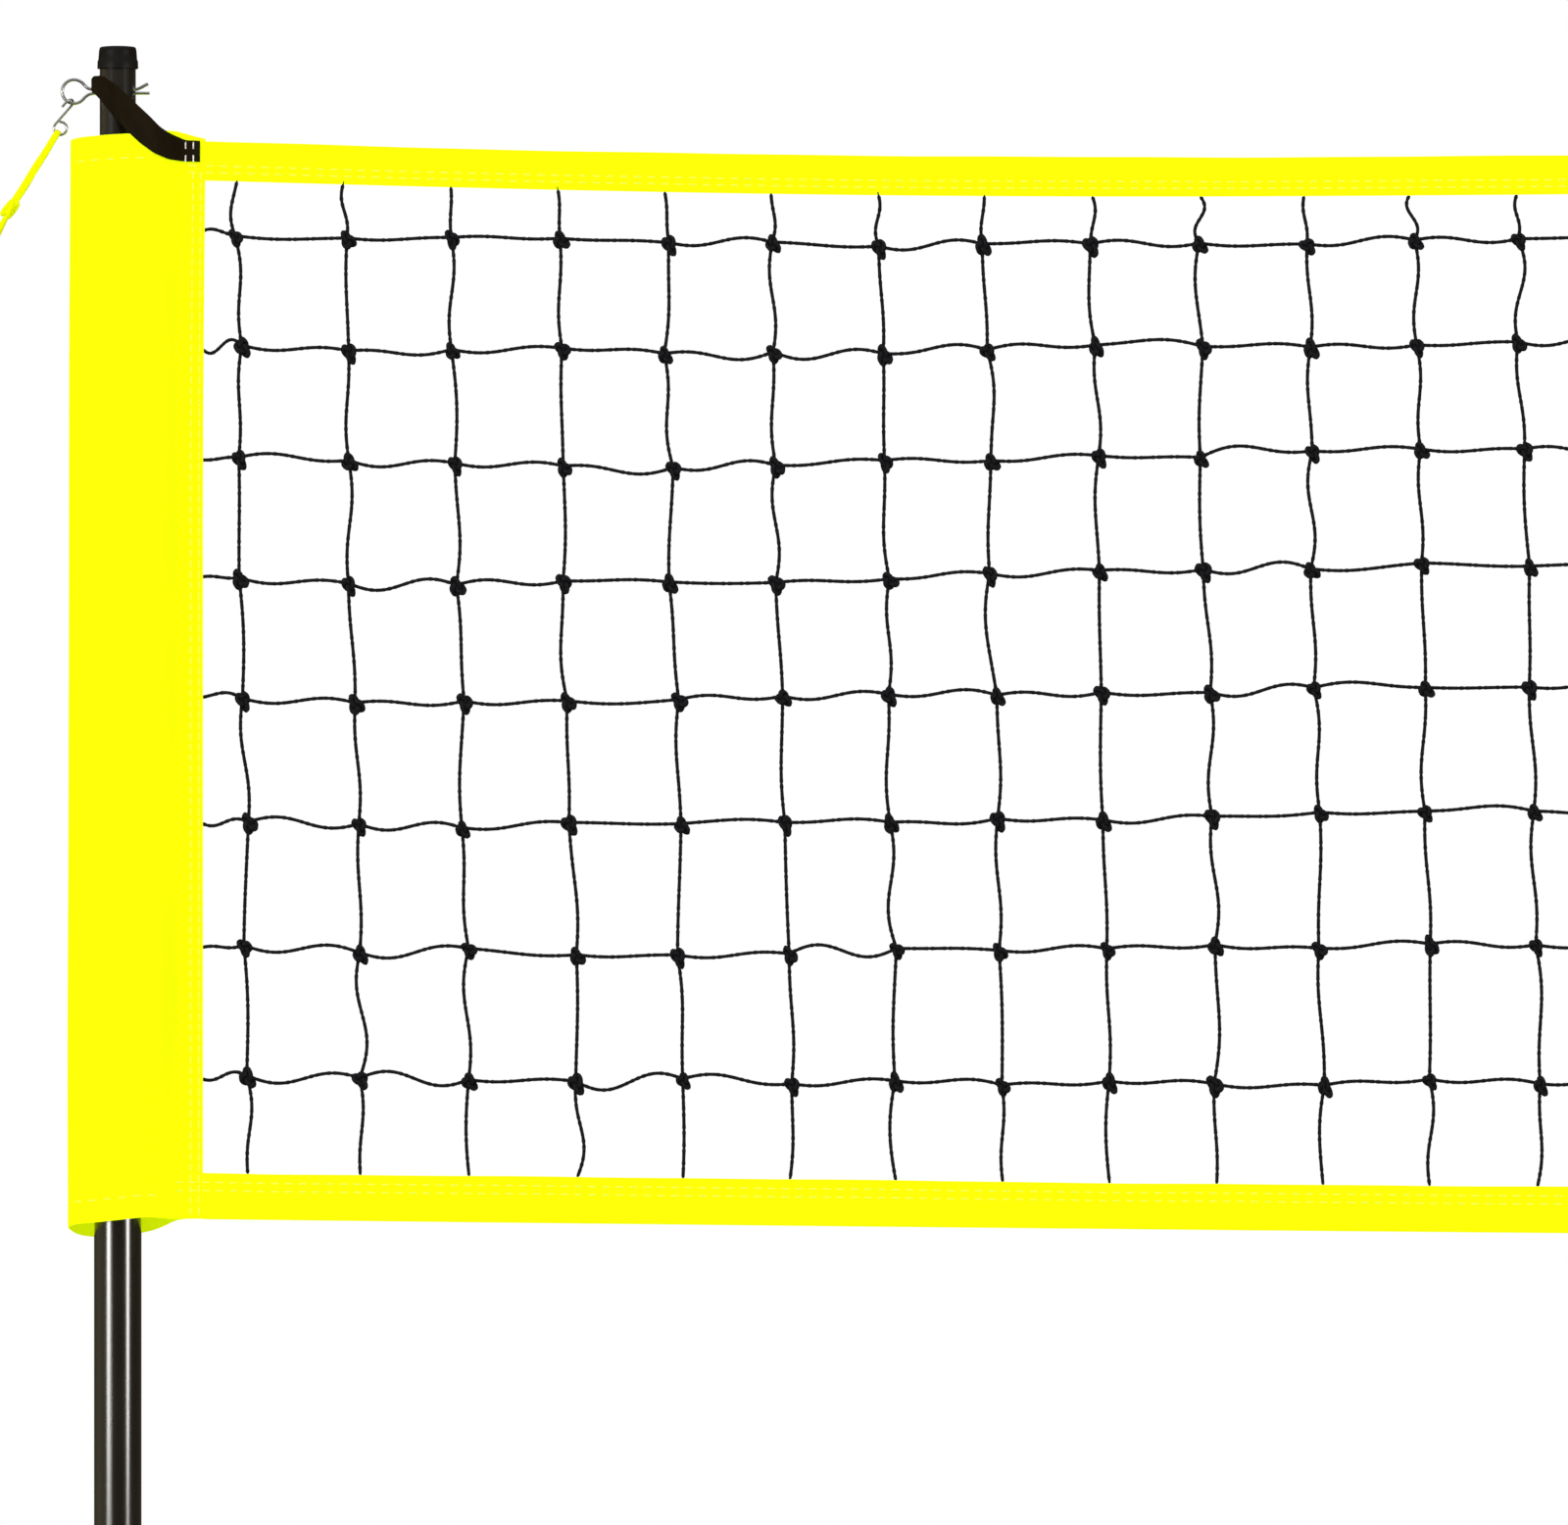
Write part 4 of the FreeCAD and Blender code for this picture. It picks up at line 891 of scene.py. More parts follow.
def build_buttons():
    """Domed snap buttons, and the leaf springs that bend behind them."""
    centre = middle("left_section_button")
    front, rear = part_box("left_section_button")[0].y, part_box("left_section_button")[1].y
    outline = softened([
        (0.0003, -rear), (0.006, -rear), (0.006, -rear + 0.0015), (0.004, -rear + 0.0015), (0.004, -front - 0.0012),
        (0.0026, -front - 0.0002), (0.0003, -front),
    ], 0.0005, 4)
    skin = turned(Skin(), outline, segments=48)
    raw = skin.points[0]
    skin.points[0] = np.stack((raw[:, 0], -raw[:, 2], raw[:, 1] + centre[2]), 1)
    pair(skin, "snap_button", "zinc", "button", "section_button", weld=True)
    for pole in SIDES:
        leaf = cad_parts[pole + "_section_spring"]
        made = linked(pole + "_leaf_spring", leaf.data.copy())
        made.matrix_world = leaf.matrix_world
        welded(made.data, recalculate=False)
        finish(made, "spring_steel", stands_for=[leaf.name])
        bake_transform(made)


# Cloth
def smooth(line, times):
    """Evens out a row of numbers in place; its ends stay."""
    for _ in range(times):
        line[1:-1] = (line[:-2] + 2 * line[1:-1] + line[2:]) / 4
    return line


def sleeve_route():
    """Plan of the sleeve's cloth, from the back of the fin round the pole to its front."""
    c = bpy.context.scene.net_cloth
    back = [(c.fin, FIN_LIE), (0.060, FIN_LIE), (0.034, c.half), (-c.outer, c.half)]
    reach = [0, 0.010, 0.018, 0.026]
    route = back + [(x, -y) for x, y in back[::-1]]
    return spaced(softened(route, reach + reach[::-1], 12), 0.0035)


def plan_normals(plan):
    """Directions across a plan's route, out of its cloth."""
    return unit(np.stack((np.gradient(plan[:, 1]), -np.gradient(plan[:, 0])), 1))


def rim_heights(plan, front, back):
    """Height of a rim over the plan: one line in front of the pole, another behind it."""
    c = bpy.context.scene.net_cloth
    share = np.clip((plan[:, 1] + c.half) / (2 * c.half), 0, 1)
    share = share * share * (3 - 2 * share)
    near = np.interp(plan[:, 0], *zip(*front))
    far = np.interp(plan[:, 0], *zip(*back))
    rim = near * (1 - share) + far * share
    return smooth(rim, 4)


# Depths of the tapes' stitches, and the sleeve's rims as (x, height) against the net's edges
TOP_ROWS, LOW_ROWS = (0.0228, 0.0291), (0.0086, 0.0162)
TOP_FRONT = (
    (-0.0450, 0.0000), (-0.0400, 0.0016), (-0.0331, 0.0026), (-0.0179, 0.0040), (0.0074, 0.0056), (0.0300, 0.0056),
    (0.0500, 0.0042), (0.0660, 0.0018), (0.0790, 0.0006),
)
TOP_BACK = (
    (-0.0450, 0.0006), (-0.0300, 0.0042), (-0.0180, 0.0062), (0.0000, 0.0084), (0.0300, 0.0108), (0.0500, 0.0118),
    (0.0600, 0.0108), (0.0680, 0.0076), (0.0790, 0.0036),
)
LOW_FRONT = (
    (-0.0456, -0.0071), (-0.0424, -0.0045), (-0.0342, -0.0027), (-0.0199, -0.0019), (0.0067, 0.0010),
    (0.0241, 0.0030), (0.0354, 0.0030), (0.0579, 0.0016), (0.0790, 0.0006),
)
LOW_BACK = (
    (-0.0456, -0.0098), (-0.0424, -0.0132), (-0.0383, -0.0153), (-0.0321, -0.0167), (-0.0239, -0.0176),
    (0.0000, -0.0168), (0.0241, -0.0132), (0.0333, -0.0111), (0.0476, -0.0056), (0.0579, -0.0010), (0.0790, 0.0004),
)


def folds(plan, height, strength):
    """Soft folds of the cloth: how far each point moves out of its surface."""
    along = lengths_along(plan)[None]
    slow = np.sin(along * 26 + np.sin(height * 5.3) * 1.1) * np.sin(height * 7.1 + 1.3)
    fine = np.sin(along * 61 + height * 4.0) * np.sin(height * 13.0 + along * 9)
    loose = np.clip((0.068 - plan[:, 0]) / 0.02, 0, 1)[None]
    return (0.7 * slow + 0.35 * fine) * strength * loose


def sleeve_lean(height):
    """How far the sleeve's top is drawn towards the net."""
    c = bpy.context.scene.net_cloth
    return c.lean * np.clip((height - c.top + 0.35) / 0.35, 0, 1) ** 1.5


def build_sleeves():
    """Neon sleeves round the poles, with hems at both ends and stitched flat fins towards the net."""
    c = bpy.context.scene.net_cloth
    plan = sleeve_route()
    high = c.top + rim_heights(plan, TOP_FRONT, TOP_BACK)
    low = c.top - c.height + rim_heights(plan, LOW_FRONT, LOW_BACK)
    share = np.concatenate((
        [0, 0.0015, 0.006, 0.012, 0.018, 0.021], np.linspace(0.03, 0.97, 150),
        [0.979, 0.982, 0.988, 0.994, 0.9985, 1],
    ))
    height = low[None] + (high - low)[None] * share[:, None]
    normal = plan_normals(plan)
    out = folds(plan, height, 0.0011)
    edge = np.minimum(share, 1 - share)[:, None] * c.height
    hem_thick, hem_high = 0.0005, 0.0225
    hem = hem_thick * np.clip((hem_high - edge) / 0.003, 0, 1)
    rounded = 1 - np.clip(1 - edge / 0.0015, 0, 1) ** 2 * 0.45
    walls = []
    for way, fold in ((1, 0.4), (-1, 1.0)):
        off = out + way * (c.cloth / 2 + hem * fold) * rounded
        leaned = plan[:, 0] + normal[:, 0] * off + sleeve_lean(height)
        walls.append(np.stack((leaned, plan[:, 1] + normal[:, 1] * off, height), -1))
    along = np.repeat(lengths_along(plan)[None], len(height), 0)
    skin = shell(*walls, np.stack((along, height, np.zeros_like(height)), -1), 1)
    made = pair(skin, "cloth_sleeve", "neon_cloth", "mast", "sleeve", weld=True, crease=60)

    seams = Skin()
    outside = walls[0]
    for facing in (-1, 1):
        # Heights over the plan, left and right end, and pitch of each row of stitches
        rows = [(high - hem_high, -0.040, 0.034 if facing < 0 else 0.074, 0.014),
                (low + 0.0205, -0.040, 0.040 if facing < 0 else 0.074, 0.014)]
        for depths, left in ((TOP_ROWS, 0.0595), (np.array(LOW_ROWS) + (c.height - c.bottom_tape), 0.0520)):
            rows += [(np.full(len(plan), c.top - depth), left, 0.0785, c.stitch_pitch) for depth in depths]
        for levels, left, right, pitch in rows:
            run = [k for k in range(len(plan)) if plan[k, 1] * facing > 0 and left < plan[k, 0] < right]
            path = np.array([point_at(levels[k], height[:, k], outside[:, k]) for k in run])
            stitched(seams, path, np.column_stack((normal[run], np.zeros(len(run)))), c.stitch, pitch, 0.4)
        lie = (FIN_LIE + c.cloth / 2) * facing
        for x in (0.0677, 0.0752):
            heights = np.linspace(c.top - 0.027, c.top - c.height + 0.002, 60)
            path = np.stack((x + sleeve_lean(heights), np.full(60, lie), heights), 1)
            stitched(seams, path, (0, facing, 0), c.stitch, 0.010, 0.5)
    threads = pair(seams, "sleeve_stitches", "cloth_thread", "mast", slot="neon_cloth")


def hang(x, depth=1.0):
    """How far the net's level lines lie below their height at the pole; near the top they dip beside each pole."""
    c, span = bpy.context.scene.net_cloth, bpy.context.scene.net_poles.span
    share = (x - c.fin) / (span - 2 * c.fin)
    away = np.minimum(x - c.fin, span - c.fin - x)
    dip = c.dip * np.sin(math.pi * away / 1.257) * np.exp(-np.clip(away - 1.257, 0, None) / 0.7)
    return 4 * c.sag * share * (1 - share) + dip * (1 - depth)


def tape_waves(x, seed):
    """Slow unevenness of a tape along its length."""
    return 0.6 * np.sin(x * 3.1 + seed) + 0.4 * np.sin(x * 7.7 + 2 * seed) + 0.25 * np.sin(x * 17.3 + 3 * seed)


def build_tape(name, upper, width, fold_up, seed, rows):
    """One tape folded over the net's edge, with rows of stitches through both layers."""
    c = bpy.context.scene.net_cloth
    x = np.linspace(c.fin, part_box("top_tape")[1].x, 900)
    half, layer = c.tape / 2, 0.00095
    legs = np.linspace(-width, -0.004, 6)
    outer = [(-half, z) for z in legs] + [(-half * 0.97, -0.0015), (-half * 0.6, -0.0003), (0, 0)]
    outer += [(-y, z) for y, z in outer[-2::-1]]
    inner = [(half - layer, z) for z in legs] + [(half - layer - 0.0001, -0.0025), (0, -0.0022)]
    inner += [(-half + layer + 0.0001, -0.0025)] + [(-half + layer, z) for z in legs[::-1]]
    section = np.array(outer + inner)
    if not fold_up:
        section[:, 1] = -width - section[:, 1]
        section = section[::-1]
    level = upper - hang(x, 1.0 - fold_up)
    wave, ripple, swell = tape_waves(x, seed), tape_waves(x * 1.7, seed + 1), tape_waves(x * 2.3, seed + 2)
    calm = np.clip(np.minimum(x - x[0], x[-1] - x) / 0.05, 0, 1)
    level, wave, ripple, swell, calm = (line[:, None] for line in (level, wave, ripple, swell, calm))

    sideways, tipped, upright = 0.0009, 0.0008, 0.0005

    def waved(section):
        """Points of a section taken along the tape, with the cloth's slow waves."""
        tilt = (section[:, 1] + width / 2) / width
        y = section[:, 0] + (sideways * wave + tipped * ripple * tilt) * calm
        z = level + section[:, 1] + upright * swell * calm * (0.5 + tilt)
        return np.stack((np.repeat(x[:, None], len(section), 1), y, z), -1)

    points = waved(section)
    flat = points[..., (0, 2, 1)] * (1, 1, 0)
    ring = np.arange(len(section))
    faces = grid_faces(len(x), len(section), wrap_columns=True)
    ends = np.stack((ring, (len(x) - 1) * len(section) + ring[::-1]))
    skin = Skin().add(points, faces, ends, flat=flat)
    made = skin.object(name + "_cloth", crease=50, weld=True)
    finish(made, "neon_cloth", "left_mast", [name])

    seams = Skin()
    for depth in rows:
        for facing in (-1, 1):
            path = waved(np.array([(facing * half, -depth)]))[:, 0]
            stitched(seams, path, (0, facing, 0), c.stitch, c.stitch_pitch, 0.2 + 0.3 * (depth > 0.02))
    thread = finish(seams.object(name + "_stitches"), "cloth_thread", "left_mast")


def build_tapes():
    """Top and bottom tapes of the net."""
    c = bpy.context.scene.net_cloth
    build_tape("top_tape", c.top, c.top_tape, True, 0.4, TOP_ROWS)
    build_tape("bottom_tape", c.top - c.height + c.bottom_tape, c.bottom_tape, False, 1.9, LOW_ROWS)


def build_netting():
    """Two-strand twines with a knot at every crossing, cut into stretches along the net."""
    scene = bpy.context.scene
    n, c, span = scene.net_netting, scene.net_cloth, scene.net_poles.span
    chance = np.random.RandomState(7)
    stray_along, stray_up = 0.0035, 0.0032
    first, last = c.fin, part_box("net")[1].x
    columns = np.linspace(n.first_column, span - n.first_column, n.columns)
    step = np.arange(n.rows)
    depth = n.first_row + n.row_pitch * step + n.row_growth * step ** 2
    lift = n.row_lift * np.sin(math.pi * (step + 0.7) / (n.rows + 0.6))
    low_edge = c.height - c.bottom_tape

    def lean(x, deep):
        """How far an upright twine has moved to the right at that depth."""
        grown = np.clip((x - first) / 0.15, 0.55, 1) * np.clip((last - x) / 0.6, 0, 1)
        return n.drift * grown * (deep - n.first_row) / (depth[-1] - n.first_row)

    x = columns[None] + lean(columns[None], depth[:, None])
    x += chance.uniform(-stray_along, stray_along, (n.rows, n.columns))
    away = np.minimum(columns - first, last - columns)
    risen = 0.5 - 0.5 * np.cos(math.pi * np.clip((away - 0.08) / 1.2, 0, 1))
    z = c.top - depth[:, None] - hang(columns[None], depth[:, None] / c.height) + lift[:, None] * risen[None]
    z += chance.uniform(-stray_up, stray_up, (n.rows, n.columns))
    section = round_section(n.twine * 0.58, 6, 0.80)
    cuts = np.linspace(0, n.columns, n.pieces + 1).astype(int)
    skins = [Skin() for _ in range(n.pieces)]

    ring_step, past, tapered = 0.0024, 0.0009, 0.55

    def run(skin, start, end, bow, sway, level, taper_start=False, taper_end=False):
        """A twine between two points, bowed and swayed across its line, passing the crossing twines on one side."""
        gap = end - start
        rings = max(4, int(round(np.linalg.norm(gap) / ring_step)) + 1)
        share = np.linspace(0, 1, rings)
        offset = (bow * np.sin(math.pi * share) + sway * np.sin(TAU * share))[:, None]
        cross = UP if level else np.array((1.0, 0.0, 0.0))
        path = start + share[:, None] * gap + offset * cross
        path[:, 1] += past * np.sin(math.pi * share) * (1 if level else -1)
        scale = np.ones((rings, 2))
        if taper_start:
            scale[:2] = tapered
        if taper_end:
            scale[-2:] = tapered
        tube(skin, path, section, turn=lengths_along(path) * TAU / n.lay, scale=scale)

    def stretch(column):
        """The skin of the stretch of netting that a column belongs to."""
        return skins[int(np.searchsorted(cuts, min(column, n.columns - 1), side="right")) - 1]

    for j in range(n.rows):
        for i in range(n.columns + 1):
            skin = stretch(i)
            edge = c.top - depth[j]
            start = np.array((first - 0.004, 0, edge)) if i == 0 else np.array((x[j, i - 1], 0, z[j, i - 1]))
            end = np.array((last + 0.004, 0, edge)) if i == n.columns else np.array((x[j, i], 0, z[j, i]))
            bow, sway = chance.normal(0, n.slack * 0.8), chance.normal(0.0008, n.slack)
            run(skin, start, end, bow, -abs(sway) if (i + j) % 3 else abs(sway), True, taper_start=i == 0,
                taper_end=i == n.columns)
    for i in range(n.columns):
        skin = stretch(i)
        base = c.top - hang(columns[i])
        under = c.top - hang(columns[i], 0.0) - c.top_tape
        stops = [np.array((columns[i] + lean(columns[i], 0.04), 0, under + 0.003))]
        stops += [np.array((x[j, i], 0, z[j, i])) for j in range(n.rows)]
        stops += [np.array((columns[i] + lean(columns[i], 0.95) * 0.9, 0, base - low_edge - 0.003))]
        for j, (start, end) in enumerate(zip(stops[:-1], stops[1:])):
            run(skin, start, end, chance.normal(0, n.slack * 0.8), chance.normal(0, n.slack * 0.7), False,
                taper_start=j == 0, taper_end=j == n.rows)

    turn, lump = np.linspace(0, TAU, 37)[:-1], 0.240
    knot_path = np.stack((
        np.sin(turn) + 2 * np.sin(2 * turn), -1.15 * np.sin(3 * turn), np.cos(turn) - 2 * np.cos(2 * turn)
    ), 1) * n.knot * lump
    points, faces, _, flat = sweep(knot_path, round_section(n.twine * 0.70, 6), closed=True, carried=True, first=UP)
    for j in range(n.rows):
        for i in range(n.columns):
            skin = stretch(i)
            angle = chance.uniform(-0.5, 0.5) + (math.pi if (i + j) % 2 else math.pi / 1.5)
            tall, wide = chance.uniform(1.05, 1.4), chance.uniform(0.85, 1.05)
            mirror = 1 if chance.uniform() < 0.7 else -1
            shape = points * (1, 0.9, 1)
            spun = np.stack((
                shape[:, 0] * math.cos(angle) - shape[:, 2] * math.sin(angle), shape[:, 1],
                shape[:, 0] * math.sin(angle) + shape[:, 2] * math.cos(angle),
            ), 1)
            skewed = spun * (wide * mirror, 1, tall) + spun[:, 2:] * (-0.28, 0, 0)
            placed = skewed + (x[j, i] + 0.0008, 0, z[j, i] - 0.0022)
            skin.add(placed, faces if mirror > 0 else faces[:, ::-1], flat=flat)
    for index, skin in enumerate(skins):
        made = skin.object("netting_%d" % (index + 1), crease=80)
        finish(made, "dark_twine", "left_mast", ["net"] if index == 0 else ())


def strap_lines(x):
    """Upper and lower edge of the strap as seen from the front, over the net's top edge."""
    upper = (
        (-0.0250, 0.0545), (-0.0205, 0.0590), (-0.0160, 0.0610), (0.0, 0.0507), (0.0175, 0.0345), (0.0300, 0.0228),
        (0.0405, 0.0119), (0.0485, 0.0068), (0.0546, 0.0041), (0.0635, 0.0006), (0.0765, 0.0001),
    )
    lower = (
        (-0.0250, 0.0490), (-0.0215, 0.0440), (-0.0170, 0.0395), (-0.0100, 0.0310), (-0.0027, 0.0218),
        (0.0091, 0.0091), (0.0215, -0.0027), (0.0355, -0.0127), (0.0478, -0.0176), (0.0615, -0.0191),
        (0.0765, -0.0196),
    )
    return np.interp(x, *zip(*upper)), np.interp(x, *zip(*lower))


def build_straps():
    """Webbing looped round the pole under its cap, whose tail is sewn to the front of the sleeve."""
    c, p = bpy.context.scene.net_cloth, bpy.context.scene.net_poles
    reach = p.mast / 2 + c.webbing / 2 + 0.0002
    front = c.half + SNUG + 0.0001 + c.webbing / 2 + SNUG
    around = np.radians(np.linspace(30, 250, 60))
    loop = np.stack((reach * np.cos(around), reach * np.sin(around)), 1)
    bulge = 1 + 0.34 * np.exp(-((around - math.pi * 1.02) / 0.42) ** 2)
    loop = loop * bulge[:, None]
    on_fin = FIN_LIE + c.cloth + c.webbing / 2 + SNUG
    tail = softened([
        loop[-1], (-0.001, -0.0235), (0.012, -front), (0.0365, -front), (0.0625, -on_fin), (0.0765, -on_fin),
    ], [0, 0.008, 0.008, 0.018, 0.010, 0], 10)
    plan = spaced(np.vstack((loop, tail[1:])), 0.0015)
    upper, lower = strap_lines(plan[:, 0])
    behind = np.clip((plan[:, 1] + 0.004) / 0.012, 0, 1)
    fall = 0.60 * (plan[:, 0] + 0.0175)
    upper = upper * (1 - behind) + (0.0600 - fall) * behind
    lower = lower * (1 - behind) + (0.0410 - fall) * behind
    for line in (upper, lower):
        smooth(line, 3)
    share = np.array((0, 0.02, 0.06, 0.2, 0.35, 0.5, 0.65, 0.8, 0.94, 0.98, 1.0))
    z = c.top + lower[:, None] + (upper - lower)[:, None] * share[None]
    thick = c.webbing / 2 * np.array((0.35, 0.8, 1, 1, 1, 1, 1, 1, 1, 0.8, 0.35))
    normal = plan_normals(plan)
    walls = []
    for way in (1, -1):
        off = way * thick[None] + np.zeros((len(z), 1))
        walls.append(np.stack((plan[:, :1] + normal[:, :1] * off, plan[:, 1:] + normal[:, 1:] * off, z), -1))
    along = np.repeat(lengths_along(plan)[:, None], len(share), 1)
    flat = np.stack((along, np.repeat(share[None] * 0.02, len(z), 0), np.zeros_like(z)), -1)
    made = pair(shell(*walls, flat, -1), "webbing_strap", "black_webbing", "mast", "top_strap", weld=True, crease=60)

    seams = Skin()
    for x in (0.0631, 0.0703):
        for high, low in ((-0.0010, -0.0075), (-0.0131, -0.0196)):
            lie = np.interp(x, plan[-20:, 0], plan[-20:, 1])
            centre = (x, lie - c.webbing / 2, c.top + (high + low) / 2)
            dash(seams, centre, UP, (0, -1, 0), high - low, 0.0013, 0.0006)
            dash(seams, (x, FIN_LIE + c.cloth / 2 + 0.0002, centre[2]), UP, (0, 1, 0), high - low, 0.0013, 0.0006)
    threads = pair(seams, "strap_stitches", "strap_thread", "mast", slot="black_webbing")
    line = np.column_stack((plan, (upper + lower) / 2))


# Metalwork and cord ends at the top of a pole
def build_pins():
    """Eye pins: one wire bent into an eye, its two legs through the tube and spread on the far side."""
    h, p = bpy.context.scene.net_hardware, bpy.context.scene.net_poles
    leg, eye = h.pin_wire / 2 + 0.00005, h.pin_eye / 2
    turn = np.radians(np.linspace(24, 336, 40))
    ring = np.stack((-h.pin_out + eye * np.cos(turn), 0.0006 * np.cos(turn / 2), eye * np.sin(turn)), 1)
    spread = 0.012
    far, near, neck, splay = 0.0175, -0.022, -0.0275, 0.489
    upper = [(far + spread * math.cos(splay), 0, leg + spread * math.sin(splay)), (far, 0, leg), (near, 0, leg)]
    lower = [(near, 0, -leg), (far, 0, -leg), (far + spread, 0, -leg)]
    path = softened(np.vstack((
        upper, [(neck, 0, leg + 0.0012)], ring[1:-1], [(neck, 0, -leg - 0.0012)], lower,
    )), 0.004, 6)
    path = spaced(path, 0.0011) + (0, 0, p.pin)
    pair(tube(Skin(), path, round_section(h.pin_wire / 2, 14), carried=True), "wire_pin", "zinc", "mast", "eye_pin")


def hook_frame():
    """Pull, sideways and level directions of the hook, the middle of its bow and the middle of its ring."""
    h, p = bpy.context.scene.net_hardware, bpy.context.scene.net_poles
    lean = math.radians(41)
    pull = np.array((-math.sin(lean), 0, -math.cos(lean)))
    aside = np.array((-0.62, -0.78, 0.0))
    aside = unit(aside - pull * aside.dot(pull))
    eye = h.pin_eye / 2
    eye_low = np.array((-h.pin_out - eye * math.sin(lean / 2), 0, p.pin - eye * math.cos(lean / 2)))
    bow = eye_low + pull * (HOOK_BEND - h.hook_wire / 2 - h.pin_wire / 2 - SNUG)
    level = np.cross(pull, BACK)
    shank = 0.022
    return pull, aside, level, bow, bow - aside * HOOK_BEND + pull * shank + level * HOOK_RING


def build_hooks():
    """Wire hooks in the pins' eyes, each with an open ring for the guy loop."""
    h = bpy.context.scene.net_hardware
    pull, aside, level, bow, ring_at = hook_frame()
    barb, opening = 0.006, 0.7
    tip = bow + aside * HOOK_BEND + pull * barb
    arc = [bow + (aside * math.cos(a) - pull * math.sin(a)) * HOOK_BEND for a in np.linspace(0, math.pi, 16)]
    turn = np.linspace(0, TAU - opening, 30)
    ring = [ring_at + (pull * math.sin(a) - level * math.cos(a)) * HOOK_RING for a in turn]
    path = spaced(np.vstack(([tip], arc, ring)), 0.0009)
    pair(tube(Skin(), path, round_section(h.hook_wire / 2, 12), carried=True, first=UP), "wire_hook",
         "zinc", "mast", "guy_hook")


def build_guy_loops():
    """Flat loops through the hooks' rings, and the knots that close them on the guy lines."""
    ring_at = hook_frame()[-1]
    knot = middle("left_guy_knot")
    fall = unit(knot - ring_at)
    seat = ring_at + fall * HOOK_RING
    wide = unit(np.cross(fall, BACK))
    route = [knot - BACK * 0.0030, knot - fall * 0.020 - BACK * 0.0022, seat + fall * 0.020 - BACK * 0.0036,
             seat + fall * 0.003 - BACK * 0.0050, seat - fall * 0.0052, seat + fall * 0.003 + BACK * 0.0050,
             seat + fall * 0.018 + BACK * 0.0040, knot - fall * 0.022 + BACK * 0.0034, knot + BACK * 0.0030]
    path = spaced(spline_points("loop_route", route), 0.0014)
    tangents = unit(np.gradient(path, axis=0))
    flatwise = unit(np.cross(tangents, wide))
    share = np.linspace(0, 1, len(path))
    swell = (1 + 0.10 * np.sin(share * 9) + 0.05 * np.sin(share * 31))[:, None, None]
    section = round_section(0.5, 12) * (0.0014, 0.0064)  # thickness and width of the flat cord
    points = path[:, None] + section[None, :, :1] * flatwise[:, None] + section[None, :, 1:] * swell * wide
    _, faces, ends, flat = sweep(path, section)
    pair(Skin().add(points, faces, ends, flat=flat), "cord_loop", "yellow_cord", "mast", "guy_loop", weld=True)

    turn = np.linspace(0, TAU, 73)[:-1]
    coil = np.stack((
        np.sin(turn) + 2 * np.sin(2 * turn), np.cos(turn) - 2 * np.cos(2 * turn), -1.25 * np.sin(3 * turn)
    ), 1)
    coil = coil / np.abs(coil).max(0) * (0.0040, 0.0040, 0.0078)
    turned_coil = coil[:, :1] * wide + coil[:, 1:2] * BACK + coil[:, 2:] * fall + knot
    knots = tube(Skin(), turned_coil, round_section(0.0024, 10, 0.8), closed=True, carried=True, first=fall)
    core = tube(knots, np.array([knot + fall * s for s in np.linspace(-0.0095, 0.0095, 9)]), round_section(0.0036, 12),
                first=BACK, scale=np.repeat(np.array((0.5, 0.72, 0.9, 1, 1, 1, 0.9, 0.72, 0.5))[:, None], 2, 1))
    pair(core, "cord_knot", "yellow_cord", "mast", "guy_knot")


def filled_plate(outline, holes, thick, bevel):
    """A flat plate with rounded edges; its outline runs against the clock and its holes with it."""
    skin = Skin()
    turns = np.radians((90, 60, 30, 0))
    levels = [(bevel * (1 - math.cos(a)), thick / 2 - bevel * (1 - math.sin(a))) for a in turns]
    levels += [(inset, -z) for inset, z in levels[::-1]]
    rings = [np.asarray(ring) for ring in (outline, *holes)]
    faced = []
    for ring in rings:
        before, after = unit(ring - np.roll(ring, 1, 0)), unit(np.roll(ring, -1, 0) - ring)
        inward = [np.stack((-way[:, 1], way[:, 0]), 1) for way in (before, after)]
        both = unit(inward[0] + inward[1])
        inward = both / np.clip((both * inward[0]).sum(1, keepdims=True), 0.6, 1)
        points = np.array([np.column_stack((ring + inward * inset, np.full(len(ring), z))) for inset, z in levels])
        skin.add(points, grid_faces(len(levels), len(ring), wrap_columns=True)[:, ::-1])
        faced.append(points[0])
    triangles = np.array(tessellate_polygon([[Vector(point) for point in ring] for ring in faced]))
    flat = np.concatenate(faced)
    one, two, three = (flat[triangles[:, k], :2] for k in range(3))
    turned_over = np.cross(two - one, three - one) < 0
    triangles[turned_over] = triangles[turned_over][:, ::-1]
    skin.add(flat, triangles)
    return skin.add(flat * (1, 1, -1), triangles[:, ::-1])


def circle(centre, radius, start=0.0, end=TAU, steps=32):
    turn = np.linspace(start, end, steps, endpoint=abs(end - start) < TAU - 0.01)
    return np.stack((centre[0] + radius * np.cos(turn), centre[1] + radius * np.sin(turn)), 1)


